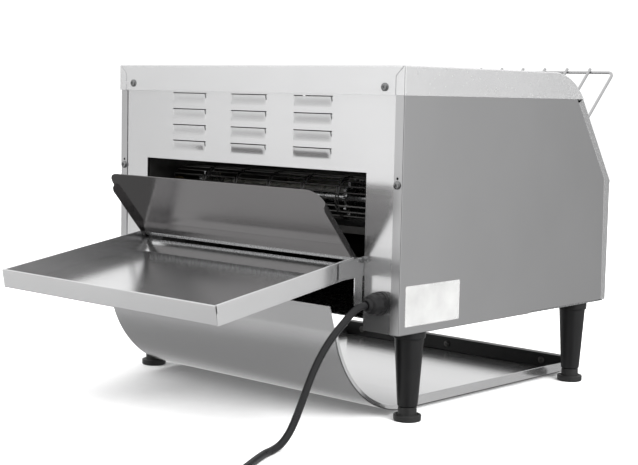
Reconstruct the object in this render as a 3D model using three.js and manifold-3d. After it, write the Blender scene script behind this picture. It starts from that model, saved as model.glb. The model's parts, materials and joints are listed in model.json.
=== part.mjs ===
// Counter-top conveyor toaster: a stainless steel cabinet on four legs with a chain conveyor between
// two banks of heater tubes. Bread goes in over the wire rack at the front (-Y). Toast leaves at the
// rear (+Y), over the hinged flap to the rear tray or down the curved chute to the front.
// Millimetres, +Z up. The outer frame's origin is at the bottom centre of the whole object.

import * as THREE from 'three';
import { mergeVertices } from 'three/addons/utils/BufferGeometryUtils.js';
import Module from 'manifold-3d';

const wasm = await Module();
wasm.setup();

// ---------------------------------------------------------------- driving dimensions
// The cabinet's own frame has x = 0 on its mid-plane, y = 0 at the rear panel and z = 0 on the table.
const REAR_Y = 142.3; // rear panel's place in the outer frame

const SHEET = 1.2; // sheet metal thickness
const GAP = 0.3; // gap between touching pieces
const HALF_WIDTH = 232; // outer faces of the side panels
const COVER_HALF_WIDTH = 233.5;
const FRONT_Y = -414;
const BASE_Z = 100;
const TOP_Z = 387;
const FLANGE_Z = 355.5; // lower edge of the top cover's flanges
const BREAK_Z = 254; // where the upright front turns into the slope
const SLOPE_TOP_Y = -345;
const COVER_BEND_Y = -280; // where the flat top starts to curve down
const RETURN_WIDTH = 12; // side panels' return strips on the rear
const OPENING_HALF_WIDTH = 181;
const OPENING_TOP_Z = 272;
const WALL_X = 184; // outer faces of the tunnel's inner walls
const DROP_FRONT_Y = -62; // front edge of the drop cut-out in the base

const LOUVRE = { width: 59, height: 12, depth: 4.2, skin: 0.9, pitchX: 102, pitchZ: 19.2, topZ: 352.5, midX: 2 };
const COVER_SCREW = { x: 206, z: 364 };
const SIDE_SCREW = { x: 225, z: 261, tabHoleZ: 268 };
const SCREW_HOLE_R = 2.5;

const SLOT = { from: 34, to: 88, halfWidth: 183 }; // feed slot, distances down the slope
const CONTROL_Z = 180;
const ROCKER_X = -130;
const PILOT_X = -92;
const HEAT_KNOB_X = 20;
const SPEED_KNOB_X = 130;

const BELT = { frontY: -345, rearY: -55, z: 238, radius: 25.2, thickness: 2.4, halfWidth: 168 };
const SHAFT_R = 5;
const SHAFT_BORE_R = 5.3;
const BELT_SPROCKET = { teeth: 12, tip: 22.4, root: 19, width: 4, x: 120 };
const DRIVE_SPROCKET = { teeth: 16, tip: 18, root: 15.5, x: 203.5, width: 5 };
const PINION = { teeth: 12, tip: 13.6, root: 11.2, y: -330, z: 145, shaftR: 4 };
const CHAIN_THICKNESS = 4;
const HEATER_R = 5;
const UPPER_HEATERS = { z: 322, y: [-120, -250] };
const LOWER_HEATERS = { z: 238, y: [-130, -260] };

const FLAP = { y: 4.2, z: 178, angle: 49.5, length: 100, halfWidth: 176, crease: 21, flange: 6, corner: 18 };
const TRAY = { y: 3, z: 161.2, tilt: 9.2, length: 213, halfWidth: 178, wall: 21.5, backWall: 9.5 };
const BRACKET_X = 180.6;
const CHUTE = { halfWidth: 187, floorZ: 4, frontY: -402, bendY: -70, bendR: 123.8, lip: [60, 133], flange: 12 };
const LEG = { x: 213, frontY: -368, rearY: -42, topR: 18, bottomR: 11.2, bottomZ: 16 };
const RACK = { tip: [-499, 391.5], end: [-381, 272], halfWidth: 180, wireR: 1.8, wires: 9, cornerR: 8 };
const FAN = { x: -60, y: -300, half: 40, height: 25, boreR: 35, bladeR: 33, blades: 7 };
const GLAND = { x: -206, z: 133, tipY: 24 };

const CORD_R = 4;
const COIL = { x: -326.4, y: 293.1, inner: 33, outer: 49, entry: 27 }; // entry: angle where the cord joins, degrees
const ROUND_STEPS = 24; // facets round a shaft, leg or knob

// ---------------------------------------------------------------- helpers
const X = new THREE.Vector3(1, 0, 0);
const Y = new THREE.Vector3(0, 1, 0);
const Z = new THREE.Vector3(0, 0, 1);
const radians = THREE.MathUtils.degToRad;

function solid(geometry) {
  const bare = geometry.clone();
  bare.deleteAttribute('normal');
  bare.deleteAttribute('uv');
  const merged = mergeVertices(bare, 1e-4);
  const corners = merged.index.array;
  const triangles = [];
  for (let i = 0; i < corners.length; i += 3) {
    const [a, b, c] = corners.slice(i, i + 3);
    if (a !== b && b !== c && c !== a) triangles.push(a, b, c);
  }
  return new wasm.Manifold(new wasm.Mesh({
    numProp: 3,
    vertProperties: merged.attributes.position.array,
    triVerts: new Uint32Array(triangles),
  }));
}

function geometryOf(manifold) {
  const mesh = manifold.getMesh();
  const geometry = new THREE.BufferGeometry();
  geometry.setAttribute('position', new THREE.BufferAttribute(new Float32Array(mesh.vertProperties), 3));
  geometry.setIndex(new THREE.BufferAttribute(new Uint32Array(mesh.triVerts), 1));
  geometry.computeVertexNormals();
  return geometry;
}

function join(first, ...others) {
  return geometryOf(others.reduce((whole, other) => whole.add(solid(other)), solid(first)));
}

function cut(body, ...tools) {
  return geometryOf(tools.reduce((whole, tool) => whole.subtract(solid(tool)), solid(body)));
}

function extrude(points, depth, hole) {
  const shape = new THREE.Shape(points.map(([a, b]) => new THREE.Vector2(a, b)));
  if (hole) shape.holes.push(new THREE.Path(hole.map(([a, b]) => new THREE.Vector2(a, b))));
  return new THREE.ExtrudeGeometry(shape, { depth, bevelEnabled: false });
}

// An outline in (y, z) run along x, in (x, z) along y, or in (x, y) along z.
function alongX(points, x0, x1, hole) {
  return extrude(points, x1 - x0, hole).applyMatrix4(new THREE.Matrix4().makeBasis(Y, Z, X)).translate(x0, 0, 0);
}

function alongY(points, y0, y1, hole) {
  const basis = new THREE.Matrix4().makeBasis(X, Z, Y.clone().negate());
  return extrude(points, y1 - y0, hole).applyMatrix4(basis).translate(0, y1, 0);
}

function alongZ(points, z0, z1, hole) {
  return extrude(points, z1 - z0, hole).translate(0, 0, z0);
}

function box(x0, x1, y0, y1, z0, z1) {
  return new THREE.BoxGeometry(x1 - x0, y1 - y0, z1 - z0).translate((x0 + x1) / 2, (y0 + y1) / 2, (z0 + z1) / 2);
}

function rectangle(a0, a1, b0, b1) {
  return [[a0, b0], [a1, b0], [a1, b1], [a0, b1]];
}

function circle(a, b, radius, steps = ROUND_STEPS) {
  return arc(a, b, radius, 0, 360, steps).slice(0, -1);
}

// Points on a circle, from one angle to another in degrees.
function arc(a, b, radius, from, to, steps) {
  const points = [];
  for (let i = 0; i <= steps; i++) {
    const angle = radians(from + ((to - from) * i) / steps);
    points.push([a + radius * Math.cos(angle), b + radius * Math.sin(angle)]);
  }
  return points;
}

function rodX(y, z, radius, x0, x1, steps = ROUND_STEPS) {
  return alongX(circle(y, z, radius, steps), x0, x1);
}

function rodY(x, z, radius, y0, y1, steps = ROUND_STEPS) {
  return alongY(circle(x, z, radius, steps), y0, y1);
}

// A [radius, height] profile turned about +Z; it starts and ends on the axis, or closes on itself.
function turned(profile, steps = ROUND_STEPS) {
  const points = profile.map(([radius, height]) => new THREE.Vector2(radius, height));
  return new THREE.LatheGeometry(points, steps).rotateX(Math.PI / 2);
}

// The same points moved sideways by a distance, to the left of the way they run, with mitred corners.
function offsetPath(points, distance) {
  const normals = points.slice(1).map(([a, b], i) => {
    const run = [a - points[i][0], b - points[i][1]];
    const length = Math.hypot(...run);
    return [-run[1] / length, run[0] / length];
  });
  return points.map(([a, b], i) => {
    const before = normals[Math.max(i - 1, 0)];
    const after = normals[Math.min(i, normals.length - 1)];
    const scale = distance / (1 + before[0] * after[0] + before[1] * after[1]);
    return [a + (before[0] + after[0]) * scale, b + (before[1] + after[1]) * scale];
  });
}

// A bent sheet: its face follows the path and its thickness lies to the path's left.
function bentSheet(path, x0, x1, thickness = SHEET) {
  return alongX([...path, ...offsetPath(path, thickness).reverse()], x0, x1);
}

function toothedWheel(teeth, tip, root) {
  const points = [];
  for (let i = 0; i < teeth; i++) {
    for (const [part, radius] of [[-0.3, root], [-0.13, tip], [0.13, tip], [0.3, root]]) {
      const angle = ((i + part) * 2 * Math.PI) / teeth;
      points.push([radius * Math.cos(angle), radius * Math.sin(angle)]);
    }
  }
  return points;
}

function moved(points, a, b) {
  return points.map(([p, q]) => [p + a, q + b]);
}

// The outline of a belt round two wheels.
function loop(a, radiusA, b, radiusB, steps = 14) {
  const lean = Math.atan2(b[1] - a[1], b[0] - a[0]);
  const wrap = Math.acos((radiusA - radiusB) / Math.hypot(b[0] - a[0], b[1] - a[1]));
  const [from, to] = [lean + wrap, lean + 2 * Math.PI - wrap].map(THREE.MathUtils.radToDeg);
  return [...arc(a[0], a[1], radiusA, from, to, steps), ...arc(b[0], b[1], radiusB, to - 360, from, steps)];
}

function tube(points, radius, steps, sides = 8) {
  const section = new THREE.Shape(circle(0, 0, radius, sides).map(([a, b]) => new THREE.Vector2(a, b)));
  const path = new THREE.CatmullRomCurve3(points.map((p) => new THREE.Vector3(...p)), false, 'centripetal');
  return new THREE.ExtrudeGeometry(section, { steps, bevelEnabled: false, extrudePath: path });
}

function finish(color, roughness, metalness) {
  return { color, roughness, metalness };
}

const STEEL = finish(0xc9cacb, 0.28, 1);
const BRUSHED = finish(0x9b9c9d, 0.42, 1);
const MIRROR = finish(0xd4d4d5, 0.12, 1);
const DARK_STEEL = finish(0x3a3937, 0.5, 0.9);
const ZINC = finish(0xaeb1b3, 0.4, 1);
const BLACK_PLASTIC = finish(0x1b1b1c, 0.55, 0);
const BLACK_RUBBER = finish(0x161617, 0.7, 0);
const QUARTZ = finish(0xd9d3c8, 0.3, 0);
const BRASS = finish(0xb08d4a, 0.35, 1);
const RED_LENS = finish(0xb01812, 0.2, 0);
const CREAM_PLASTIC = finish(0xe4ddc8, 0.6, 0);

const object = new THREE.Group();
const cabinet = new THREE.Group();
cabinet.position.y = REAR_Y;
object.add(cabinet);

function add(name, geometry, look, parent = cabinet) {
  const mesh = new THREE.Mesh(geometry, new THREE.MeshStandardMaterial(look));
  mesh.name = name;
  parent.add(mesh);
  return mesh;
}

// ---------------------------------------------------------------- casing
// The front slope's frame: a point this far down the slope and this far behind its face.
const slopeLength = Math.hypot(FRONT_Y - SLOPE_TOP_Y, FLANGE_Z - BREAK_Z);
const slopeRun = [(FRONT_Y - SLOPE_TOP_Y) / slopeLength, (BREAK_Z - FLANGE_Z) / slopeLength];

function onSlope(down, behind) {
  return [
    SLOPE_TOP_Y + slopeRun[0] * down - slopeRun[1] * behind,
    FLANGE_Z + slopeRun[1] * down + slopeRun[0] * behind,
  ];
}

// The line where a side panel ends and the front panel's side return begins.
const seam = [[-335, 351], [-400, BREAK_Z + 2], [-404, 103]];

function coverOutline(inset, lowerEdge) {
  const drop = TOP_Z - FLANGE_Z;
  const run = COVER_BEND_Y - SLOPE_TOP_Y;
  const radius = (run * run + drop * drop) / (2 * drop);
  const sweep = THREE.MathUtils.radToDeg(Math.asin(run / radius));
  const rear = SHEET + 2 * GAP - inset;
  const bend = arc(COVER_BEND_Y, TOP_Z - radius, radius - inset, 90, 90 + sweep, 12);
  return [[rear, lowerEdge], [rear, TOP_Z - inset], ...bend, [bend.at(-1)[0], lowerEdge]];
}

function topCover() {
  const outer = alongX(coverOutline(0, FLANGE_Z), -COVER_HALF_WIDTH, COVER_HALF_WIDTH);
  const inside = COVER_HALF_WIDTH - SHEET;
  const hollow = alongX(coverOutline(SHEET, FLANGE_Z - 8), -inside, inside);
  const holes = [-1, 1].map((side) => rodY(side * COVER_SCREW.x, COVER_SCREW.z, SCREW_HOLE_R, -1, 3, 16));
  return cut(outer, hollow, ...holes);
}

function sidePanel(side) {
  const top = TOP_Z - SHEET - 1.8;
  const outline = [[0, BASE_Z], [0, top], [COVER_BEND_Y, top], [-310, 374], ...seam, [-247, 103], [-244, BASE_Z]];
  const [x0, x1] = [side * HALF_WIDTH, side * (HALF_WIDTH - SHEET)].sort((a, b) => a - b);
  const [r0, r1] = [side * HALF_WIDTH, side * (HALF_WIDTH - RETURN_WIDTH)].sort((a, b) => a - b);
  const panel = join(alongX(outline, x0, x1), box(r0, r1, -SHEET, 0, BASE_Z, top));
  const screwHole = rodY(side * SIDE_SCREW.x, SIDE_SCREW.z, SCREW_HOLE_R, -3, 3, 16);
  const tabHole = rodY(side * SIDE_SCREW.x, SIDE_SCREW.tabHoleZ, 1.5, -3, 3, 12);
  return cut(panel, screwHole, tabHole);
}

// One pressed louvre: a sloping hood that is open along its top edge.
function louvre(x, top) {
  const half = LOUVRE.width / 2;
  const hood = [[-0.2, top - LOUVRE.height], [0, top - LOUVRE.height], [LOUVRE.depth, top], [-0.2, top]];
  const hollowDepth = LOUVRE.depth - LOUVRE.skin;
  const hollowFoot = top - LOUVRE.height + 2.6;
  const hollow = [[-3, hollowFoot], [0, hollowFoot], [hollowDepth, top + 0.05], [-3, top + 0.05]];
  return {
    hood: alongX(hood, x - half, x + half),
    hollow: alongX(hollow, x - half + LOUVRE.skin, x + half - LOUVRE.skin),
  };
}

function rearPanel() {
  const edge = HALF_WIDTH - RETURN_WIDTH - GAP;
  const outline = [
    [-edge, BASE_Z + 0.5], [-OPENING_HALF_WIDTH, BASE_Z + 0.5], [-OPENING_HALF_WIDTH, OPENING_TOP_Z],
    [OPENING_HALF_WIDTH, OPENING_TOP_Z], [OPENING_HALF_WIDTH, BASE_Z + 0.5], [edge, BASE_Z + 0.5],
    [edge, TOP_Z - 3], [-edge, TOP_Z - 3],
  ];
  const louvres = [];
  for (const column of [-1, 0, 1]) {
    for (const row of [0, 1, 2, 3]) {
      louvres.push(louvre(LOUVRE.midX + column * LOUVRE.pitchX, LOUVRE.topZ - row * LOUVRE.pitchZ));
    }
  }
  const holes = [-1, 1].map((side) => rodY(side * COVER_SCREW.x, COVER_SCREW.z, SCREW_HOLE_R, -3, 3, 16));
  const glandHole = rodY(GLAND.x, GLAND.z, 8.4, -3, 3, 24);
  const pressed = join(alongY(outline, -SHEET, 0), ...louvres.map((one) => one.hood));
  return cut(pressed, ...louvres.map((one) => one.hollow), ...holes, glandHole);
}

function frontPanel() {
  const face = [onSlope(0.7, 0), [FRONT_Y, BREAK_Z], [FRONT_Y, BASE_Z + 2]];
  const returns = seam.map(([y, z]) => [y - GAP, z]);
  const outer = alongX([...face, [returns[2][0], BASE_Z + 2], ...returns.reverse()], -HALF_WIDTH, HALF_WIDTH);
  const inner = offsetPath(face, SHEET);
  const behind = [[-300, BASE_Z - 3], [-300, 362]];
  const hollowOutline = [[inner[0][0] + 6, 362], ...inner, [inner[2][0], BASE_Z - 3], ...behind];
  const inside = HALF_WIDTH - SHEET;
  const slot = [onSlope(SLOT.from, -6), onSlope(SLOT.to, -6), onSlope(SLOT.to, 6), onSlope(SLOT.from, 6)];
  const rockerHole = box(ROCKER_X - 14, ROCKER_X + 14, FRONT_Y - 3, FRONT_Y + 3, CONTROL_Z - 10.5, CONTROL_Z + 10.5);
  const round = [[PILOT_X, 5.6], [HEAT_KNOB_X, 4], [SPEED_KNOB_X, 4]];
  const holes = round.map(([x, radius]) => rodY(x, CONTROL_Z, radius, FRONT_Y - 3, FRONT_Y + 3, 24));
  return cut(
    outer,
    alongX(hollowOutline, -inside, inside),
    alongX(slot, -SLOT.halfWidth, SLOT.halfWidth),
    rockerHole,
    ...holes,
  );
}

function basePan() {
  const half = HALF_WIDTH - SHEET - 0.5;
  const bottom = BASE_Z + GAP;
  const plate = box(-half, half, FRONT_Y + SHEET + 1.5, -SHEET - GAP, bottom, bottom + SHEET);
  const curbs = [-1, 1].map((side) => {
    const [x0, x1] = [side * half, side * (half - SHEET)].sort((a, b) => a - b);
    return box(x0, x1, FRONT_Y + 12, -SHEET - GAP, bottom, bottom + 14);
  });
  const drop = box(-OPENING_HALF_WIDTH, OPENING_HALF_WIDTH, DROP_FRONT_Y, 5, bottom - 2, bottom + 4);
  const vents = [-2, -1, 0, 1, 2].map((i) => {
    const x = FAN.x + i * 12;
    return box(x - 3, x + 3, FAN.y - 26, FAN.y + 26, bottom - 2, bottom + 4);
  });
  return cut(join(plate, ...curbs), drop, ...vents);
}

add('base_pan', basePan(), ZINC);
add('left_side_panel', sidePanel(-1), BRUSHED);
add('right_side_panel', sidePanel(1), BRUSHED);
add('top_cover', topCover(), STEEL);
add('rear_panel', rearPanel(), STEEL);
add('front_panel', frontPanel(), STEEL);

// ---------------------------------------------------------------- toasting tunnel
function innerWall(side) {
  const foot = BASE_Z + GAP + SHEET + GAP;
  const outline = [[-6, foot], [-6, 346], [-343, 346], [-404, BREAK_Z + 2], [-404, foot]];
  const [x0, x1] = [side * WALL_X, side * (WALL_X - SHEET)].sort((a, b) => a - b);
  const bearings = [BELT.frontY, BELT.rearY].map((y) => rodX(y, BELT.z, 9.4, x0 - 3, x1 + 3, 24));
  const heaters = [UPPER_HEATERS, LOWER_HEATERS].flatMap((bank) =>
    bank.y.map((y) => rodX(y, bank.z, HEATER_R + 0.6, x0 - 3, x1 + 3, 16)));
  const pinionHole = side > 0 ? [rodX(PINION.y, PINION.z, 8, x0 - 3, x1 + 3, 20)] : [];
  return cut(alongX(outline, x0, x1), ...bearings, ...heaters, ...pinionHole);
}

// A shallow sheet tray that throws the heat back at the bread, its lips turned up or down.
function reflector(y0, y1, z, lip) {
  const half = WALL_X - SHEET - 0.4;
  return bentSheet([[y1, z + lip], [y1, z], [y0, z], [y0, z + lip]], -half, half, lip > 0 ? -SHEET : SHEET);
}

function heater(y, z) {
  const ceramic = 8;
  const end = WALL_X + 14;
  const ends = [-end, end - ceramic].map((x) => rodX(y, z, HEATER_R + 2, x, x + ceramic, 16));
  return join(rodX(y, z, HEATER_R, -end, end, 16), ...ends);
}

add('left_inner_wall', innerWall(-1), DARK_STEEL);
add('right_inner_wall', innerWall(1), DARK_STEEL);
add('upper_reflector', reflector(-325, -14, 342, -10), DARK_STEEL);
add('lower_reflector', reflector(-385, -36, 200, 8), DARK_STEEL);
for (const [bank, name] of [[UPPER_HEATERS, 'upper'], [LOWER_HEATERS, 'lower']]) {
  bank.y.forEach((y, i) => add(`${name}_heater_${i + 1}`, heater(y, bank.z), QUARTZ));
}

// ---------------------------------------------------------------- conveyor and its drive
function beltSprocket(y, x) {
  const wheel = moved(toothedWheel(BELT_SPROCKET.teeth, BELT_SPROCKET.tip, BELT_SPROCKET.root), y, BELT.z);
  const half = BELT_SPROCKET.width / 2;
  return alongX(wheel, x - half, x + half, circle(y, BELT.z, SHAFT_BORE_R));
}

function bearing(y, side) {
  const profile = [[SHAFT_BORE_R, 0], [9, 0], [9, 4.5], [12, 4.5], [12, 7], [SHAFT_BORE_R, 7], [SHAFT_BORE_R, 0]];
  const start = WALL_X + GAP - 4.5;
  const ring = turned(profile, 24).rotateY((side * Math.PI) / 2);
  return ring.translate(side * start, y, BELT.z);
}

const frontWheel = [BELT.frontY, BELT.z];
const rearWheel = [BELT.rearY, BELT.z];
const beltInside = BELT.radius - BELT.thickness;
add(
  'conveyor_belt',
  alongX(
    loop(frontWheel, BELT.radius, rearWheel, BELT.radius),
    -BELT.halfWidth,
    BELT.halfWidth,
    loop(frontWheel, beltInside, rearWheel, beltInside),
  ),
  DARK_STEEL,
);
add('front_shaft', rodX(...frontWheel, SHAFT_R, -192, 212), ZINC);
add('rear_shaft', rodX(...rearWheel, SHAFT_R, -192, 192), ZINC);
for (const [name, y] of [['front', BELT.frontY], ['rear', BELT.rearY]]) {
  add(`${name}_sprocket_left`, beltSprocket(y, -BELT_SPROCKET.x), ZINC);
  add(`${name}_sprocket_right`, beltSprocket(y, BELT_SPROCKET.x), ZINC);
  add(`${name}_bearing_left`, bearing(y, -1), BRASS);
  add(`${name}_bearing_right`, bearing(y, 1), BRASS);
}

const driveWheel = moved(toothedWheel(DRIVE_SPROCKET.teeth, DRIVE_SPROCKET.tip, DRIVE_SPROCKET.root), ...frontWheel);
const driveX = [DRIVE_SPROCKET.x - DRIVE_SPROCKET.width / 2, DRIVE_SPROCKET.x + DRIVE_SPROCKET.width / 2];
add('drive_sprocket', alongX(driveWheel, ...driveX, circle(...frontWheel, SHAFT_BORE_R)), ZINC);

function motorPinion() {
  const wheel = moved(toothedWheel(PINION.teeth, PINION.tip, PINION.root), PINION.y, PINION.z);
  return join(alongX(wheel, ...driveX), rodX(PINION.y, PINION.z, PINION.shaftR, 180.6, 212, 20));
}

function driveChain() {
  const motorWheel = [PINION.y, PINION.z];
  const inner = loop(frontWheel, DRIVE_SPROCKET.tip + 0.5, motorWheel, PINION.tip + 0.5);
  const grown = 0.5 + CHAIN_THICKNESS;
  const outer = loop(frontWheel, DRIVE_SPROCKET.tip + grown, motorWheel, PINION.tip + grown);
  return alongX(outer, driveX[0] - 1, driveX[1] + 1, inner);
}

// Motor can, gearbox block and the foot that stands on the base pan.
function gearMotor() {
  const floor = BASE_Z + SHEET + 2 * GAP;
  const can = rodX(PINION.y, PINION.z, 28, 62, 152);
  const gearbox = box(148, 180, PINION.y - 31, PINION.y + 31, PINION.z - 31, PINION.z + 31);
  const foot = box(84, 180, PINION.y - 36, PINION.y + 36, floor, floor + 3);
  const web = box(96, 178, PINION.y - 20, PINION.y + 20, floor, PINION.z - 15);
  return join(can, gearbox, foot, web);
}

add('motor_pinion', motorPinion(), ZINC);
add('drive_chain', driveChain(), DARK_STEEL);
add('gear_motor', gearMotor(), BLACK_PLASTIC);

// ---------------------------------------------------------------- cooling fan and wiring
const fanFloor = BASE_Z + SHEET + 2 * GAP;

function fanFrame() {
  const square = rectangle(FAN.x - FAN.half, FAN.x + FAN.half, FAN.y - FAN.half, FAN.y + FAN.half);
  const frame = alongZ(square, fanFloor, fanFloor + FAN.height, circle(FAN.x, FAN.y, FAN.boreR));
  const hub = alongZ(circle(FAN.x, FAN.y, 15), fanFloor, fanFloor + 3);
  const struts = [0, 60, 120].map((angle) => {
    const bar = box(-FAN.boreR - 1, FAN.boreR + 1, -2, 2, fanFloor, fanFloor + 3);
    return bar.rotateZ(radians(angle)).translate(FAN.x, FAN.y, 0);
  });
  return join(frame, hub, ...struts);
}

function fanRotor() {
  const low = fanFloor + 3.5;
  const hub = alongZ(circle(FAN.x, FAN.y, 15), low, low + 18);
  const blades = [];
  for (let i = 0; i < FAN.blades; i++) {
    const blade = box(12, FAN.bladeR, -9, 9, -0.8, 0.8).rotateX(radians(40));
    blades.push(blade.rotateZ((i * 2 * Math.PI) / FAN.blades).translate(FAN.x, FAN.y, low + 9));
  }
  return join(hub, ...blades);
}

function terminalBlock() {
  const body = box(-224, -202, -110, -60, fanFloor, fanFloor + 14);
  const barrels = [-100, -85, -70].map((y) => box(-219, -207, y - 5, y + 5, fanFloor + 10, fanFloor + 19));
  return join(body, ...barrels);
}

add('fan_frame', fanFrame(), BLACK_PLASTIC);
add('fan_rotor', fanRotor(), BLACK_PLASTIC);
add('terminal_block', terminalBlock(), CREAM_PLASTIC);

// ---------------------------------------------------------------- front controls
// A turned knob with a pointer rib and its spindle, which runs back through the panel.
function knob(x) {
  const profile = [[0, -14], [3, -14], [3, 0.6], [19, 0.6], [19, 5], [15, 7], [14, 18], [12.5, 19.5], [0, 19.5]];
  const rib = box(-2.2, 2.2, 0, 17, 6, 21);
  return join(turned(profile), rib).rotateX(Math.PI / 2).translate(x, FRONT_Y, CONTROL_Z);
}

function controlBody(x, width, depth) {
  const start = FRONT_Y + SHEET + GAP;
  const body = box(x - width / 2, x + width / 2, start, start + depth, CONTROL_Z - 15, CONTROL_Z + 15);
  return cut(body, rodY(x, CONTROL_Z, 3.5, start - 2, start + 14, 20));
}

function powerSwitch() {
  const rim = box(-16, 16, -2.3, -GAP, -12.5, 12.5);
  const body = box(-13.7, 13.7, -1, 20, -10.2, 10.2);
  const well = box(-11, 11, -6, 13, -8.5, 8.5);
  return cut(join(rim, body), well).translate(ROCKER_X, FRONT_Y, CONTROL_Z);
}

function pilotLamp() {
  const profile = [[0, -16], [5.2, -16], [5.2, 0.3], [7, 0.3], [7, 2], [5, 3.4], [3, 4.4], [0, 4.8]];
  return turned(profile, 20).rotateX(Math.PI / 2).translate(PILOT_X, FRONT_Y, CONTROL_Z);
}

add('power_switch', powerSwitch(), BLACK_PLASTIC);
const rockerPivot = new THREE.Group();
rockerPivot.position.set(ROCKER_X, FRONT_Y + 3, CONTROL_Z);
rockerPivot.rotation.x = radians(-10);
cabinet.add(rockerPivot);
const rockerOutline = [[-6.4, -7.2], [-5, 0], [-6.4, 7.2], [3, 5.6], [3, -5.6]];
add('power_rocker', alongX(rockerOutline, -10.4, 10.4), BLACK_PLASTIC, rockerPivot);
add('pilot_lamp', pilotLamp(), RED_LENS);
add('heat_selector', controlBody(HEAT_KNOB_X, 34, 30), CREAM_PLASTIC);
add('heat_knob', knob(HEAT_KNOB_X), BLACK_PLASTIC);
add('speed_controller', controlBody(SPEED_KNOB_X, 46, 24), BLACK_PLASTIC);
add('speed_knob', knob(SPEED_KNOB_X), BLACK_PLASTIC);

// ---------------------------------------------------------------- wire feed rack
// Built flat with its tip at the origin and its wires running along -Y, then leaned into the slot.
const rackRun = [RACK.end[0] - RACK.tip[0], RACK.end[1] - RACK.tip[1]];
const rackLength = Math.hypot(...rackRun);

function feedRack() {
  const { halfWidth, wireR, cornerR } = RACK;
  const corner = (side) => arc(side * (halfWidth - cornerR), cornerR, cornerR, 0, 90, 6)
    .map(([x, y]) => [side > 0 ? x : 2 * side * (halfWidth - cornerR) - x, 2 * cornerR - y, 0]);
  const rightSide = [[halfWidth, rackLength, 0], [halfWidth, rackLength * 0.5, 0], ...corner(1)];
  const leftSide = [...corner(-1).reverse(), [-halfWidth, rackLength * 0.5, 0], [-halfWidth, rackLength, 0]];
  const frame = tube([...rightSide, ...leftSide], wireR, 48);
  const wires = [];
  const pitch = (2 * halfWidth) / (RACK.wires + 1);
  const lift = 2 * wireR - 0.4;
  for (let i = 1; i <= RACK.wires; i++) {
    wires.push(rodY(-halfWidth + i * pitch, lift, wireR, -3.5, rackLength - 2, 8));
  }
  const bars = [rackLength * 0.6, rackLength - 4].map((y) => rodX(y, 0, wireR, -halfWidth, halfWidth, 8));
  return join(frame, ...wires, ...bars);
}

const rackMount = new THREE.Group();
rackMount.position.set(0, ...RACK.tip);
rackMount.rotation.x = Math.atan2(rackRun[1], rackRun[0]);
cabinet.add(rackMount);
add('feed_rack', feedRack(), STEEL, rackMount);

// ---------------------------------------------------------------- rear tray, its brackets and the flap
function rearTray() {
  const { halfWidth, length, wall, backWall } = TRAY;
  const inner = halfWidth - SHEET;
  const sides = [-1, 1].map((side) => {
    const [x0, x1] = [side * halfWidth, side * inner].sort((a, b) => a - b);
    return box(x0, x1, 7, length, 0, wall);
  });
  const floor = box(-halfWidth, halfWidth, 0, length, 0, SHEET);
  const outerWall = box(-halfWidth, halfWidth, length - SHEET, length, 0, wall);
  return join(floor, outerWall, box(-inner, inner, 0, SHEET, 0, backWall), ...sides);
}

const trayMount = new THREE.Group();
trayMount.position.set(0, TRAY.y, TRAY.z);
trayMount.rotation.x = -radians(TRAY.tilt);
cabinet.add(trayMount);
add('rear_tray', rearTray(), STEEL, trayMount);

// A side plate that carries the tray and the flap's hinge rod, with a tongue hanging below it.
function trayBracket(side) {
  const outline = [[-25, 166], [-25, 181.5], [0, 181.5], [38.5, 176], [38.5, 157.5], [13.5, 159], [13.5, 128],
    [1, 128], [1, 160], [-3, 160.5]];
  const [x0, x1] = [side * BRACKET_X, side * (BRACKET_X - SHEET)].sort((a, b) => a - b);
  const [p0, p1] = [side * (BRACKET_X - 0.4), side * (WALL_X - SHEET - GAP)].sort((a, b) => a - b);
  const pad = box(p0, p1, -25, -4, 167, 180);
  return cut(join(alongX(outline, x0, x1), pad), rodX(FLAP.y, FLAP.z, 2.8, x0 - 4, x1 + 4, 16));
}

add('left_tray_bracket', trayBracket(-1), STEEL);
add('right_tray_bracket', trayBracket(1), STEEL);

function hingeRod() {
  const rod = rodX(FLAP.y, FLAP.z, 2.3, -182, 182, 16);
  const heads = [-1, 1].map((side) => {
    const [x0, x1] = [side * (BRACKET_X + GAP), side * (BRACKET_X + 2.5)].sort((a, b) => a - b);
    return rodX(FLAP.y, FLAP.z, 3.2, x0, x1, 16);
  });
  return join(rod, ...heads);
}

add('flap_hinge_rod', hingeRod(), ZINC);

// Built flat along +Y from the hinge axis: a creased plate with rounded far corners and turned-down sides.
function deflectorFlap() {
  const { halfWidth, length, crease, flange, corner } = FLAP;
  const plate = bentSheet([[length, 0], [crease, 0], [5.5, -3.4]], -halfWidth, halfWidth, -SHEET);
  const reach = halfWidth - corner;
  const rounded = [
    [-halfWidth, -20], [halfWidth, -20],
    ...arc(reach, length - corner, corner, 0, 90, 8),
    ...arc(-reach, length - corner, corner, 90, 180, 8),
  ];
  const trimmed = geometryOf(solid(plate).intersect(solid(alongZ(rounded, -20, 20))));
  const ear = [[-5, 4], [-5, -4], [4, -flange], [length - corner - 4, -flange], [length - corner, 0.6], [5, 1]];
  const sides = [-1, 1].map((side) => {
    const [x0, x1] = [side * halfWidth, side * (halfWidth - SHEET)].sort((a, b) => a - b);
    return alongX(ear, x0, x1);
  });
  return cut(join(trimmed, ...sides), rodX(0, 0, 2.8, -halfWidth - 4, halfWidth + 4, 16));
}

const flapHinge = new THREE.Group();
flapHinge.position.set(0, FLAP.y, FLAP.z);
flapHinge.rotation.x = radians(FLAP.angle);
cabinet.add(flapHinge);
add('deflector_flap', deflectorFlap(), MIRROR, flapHinge);

// ---------------------------------------------------------------- return chute
// The bend runs round a centre above its lowest line; angles from there, 0 at the floor.
const bendCentreZ = CHUTE.floorZ + CHUTE.bendR;
const bendEnd = 80;

function chuteArc(radius) {
  return arc(CHUTE.bendY, bendCentreZ, radius, bendEnd - 90, -90, 16);
}

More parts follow.
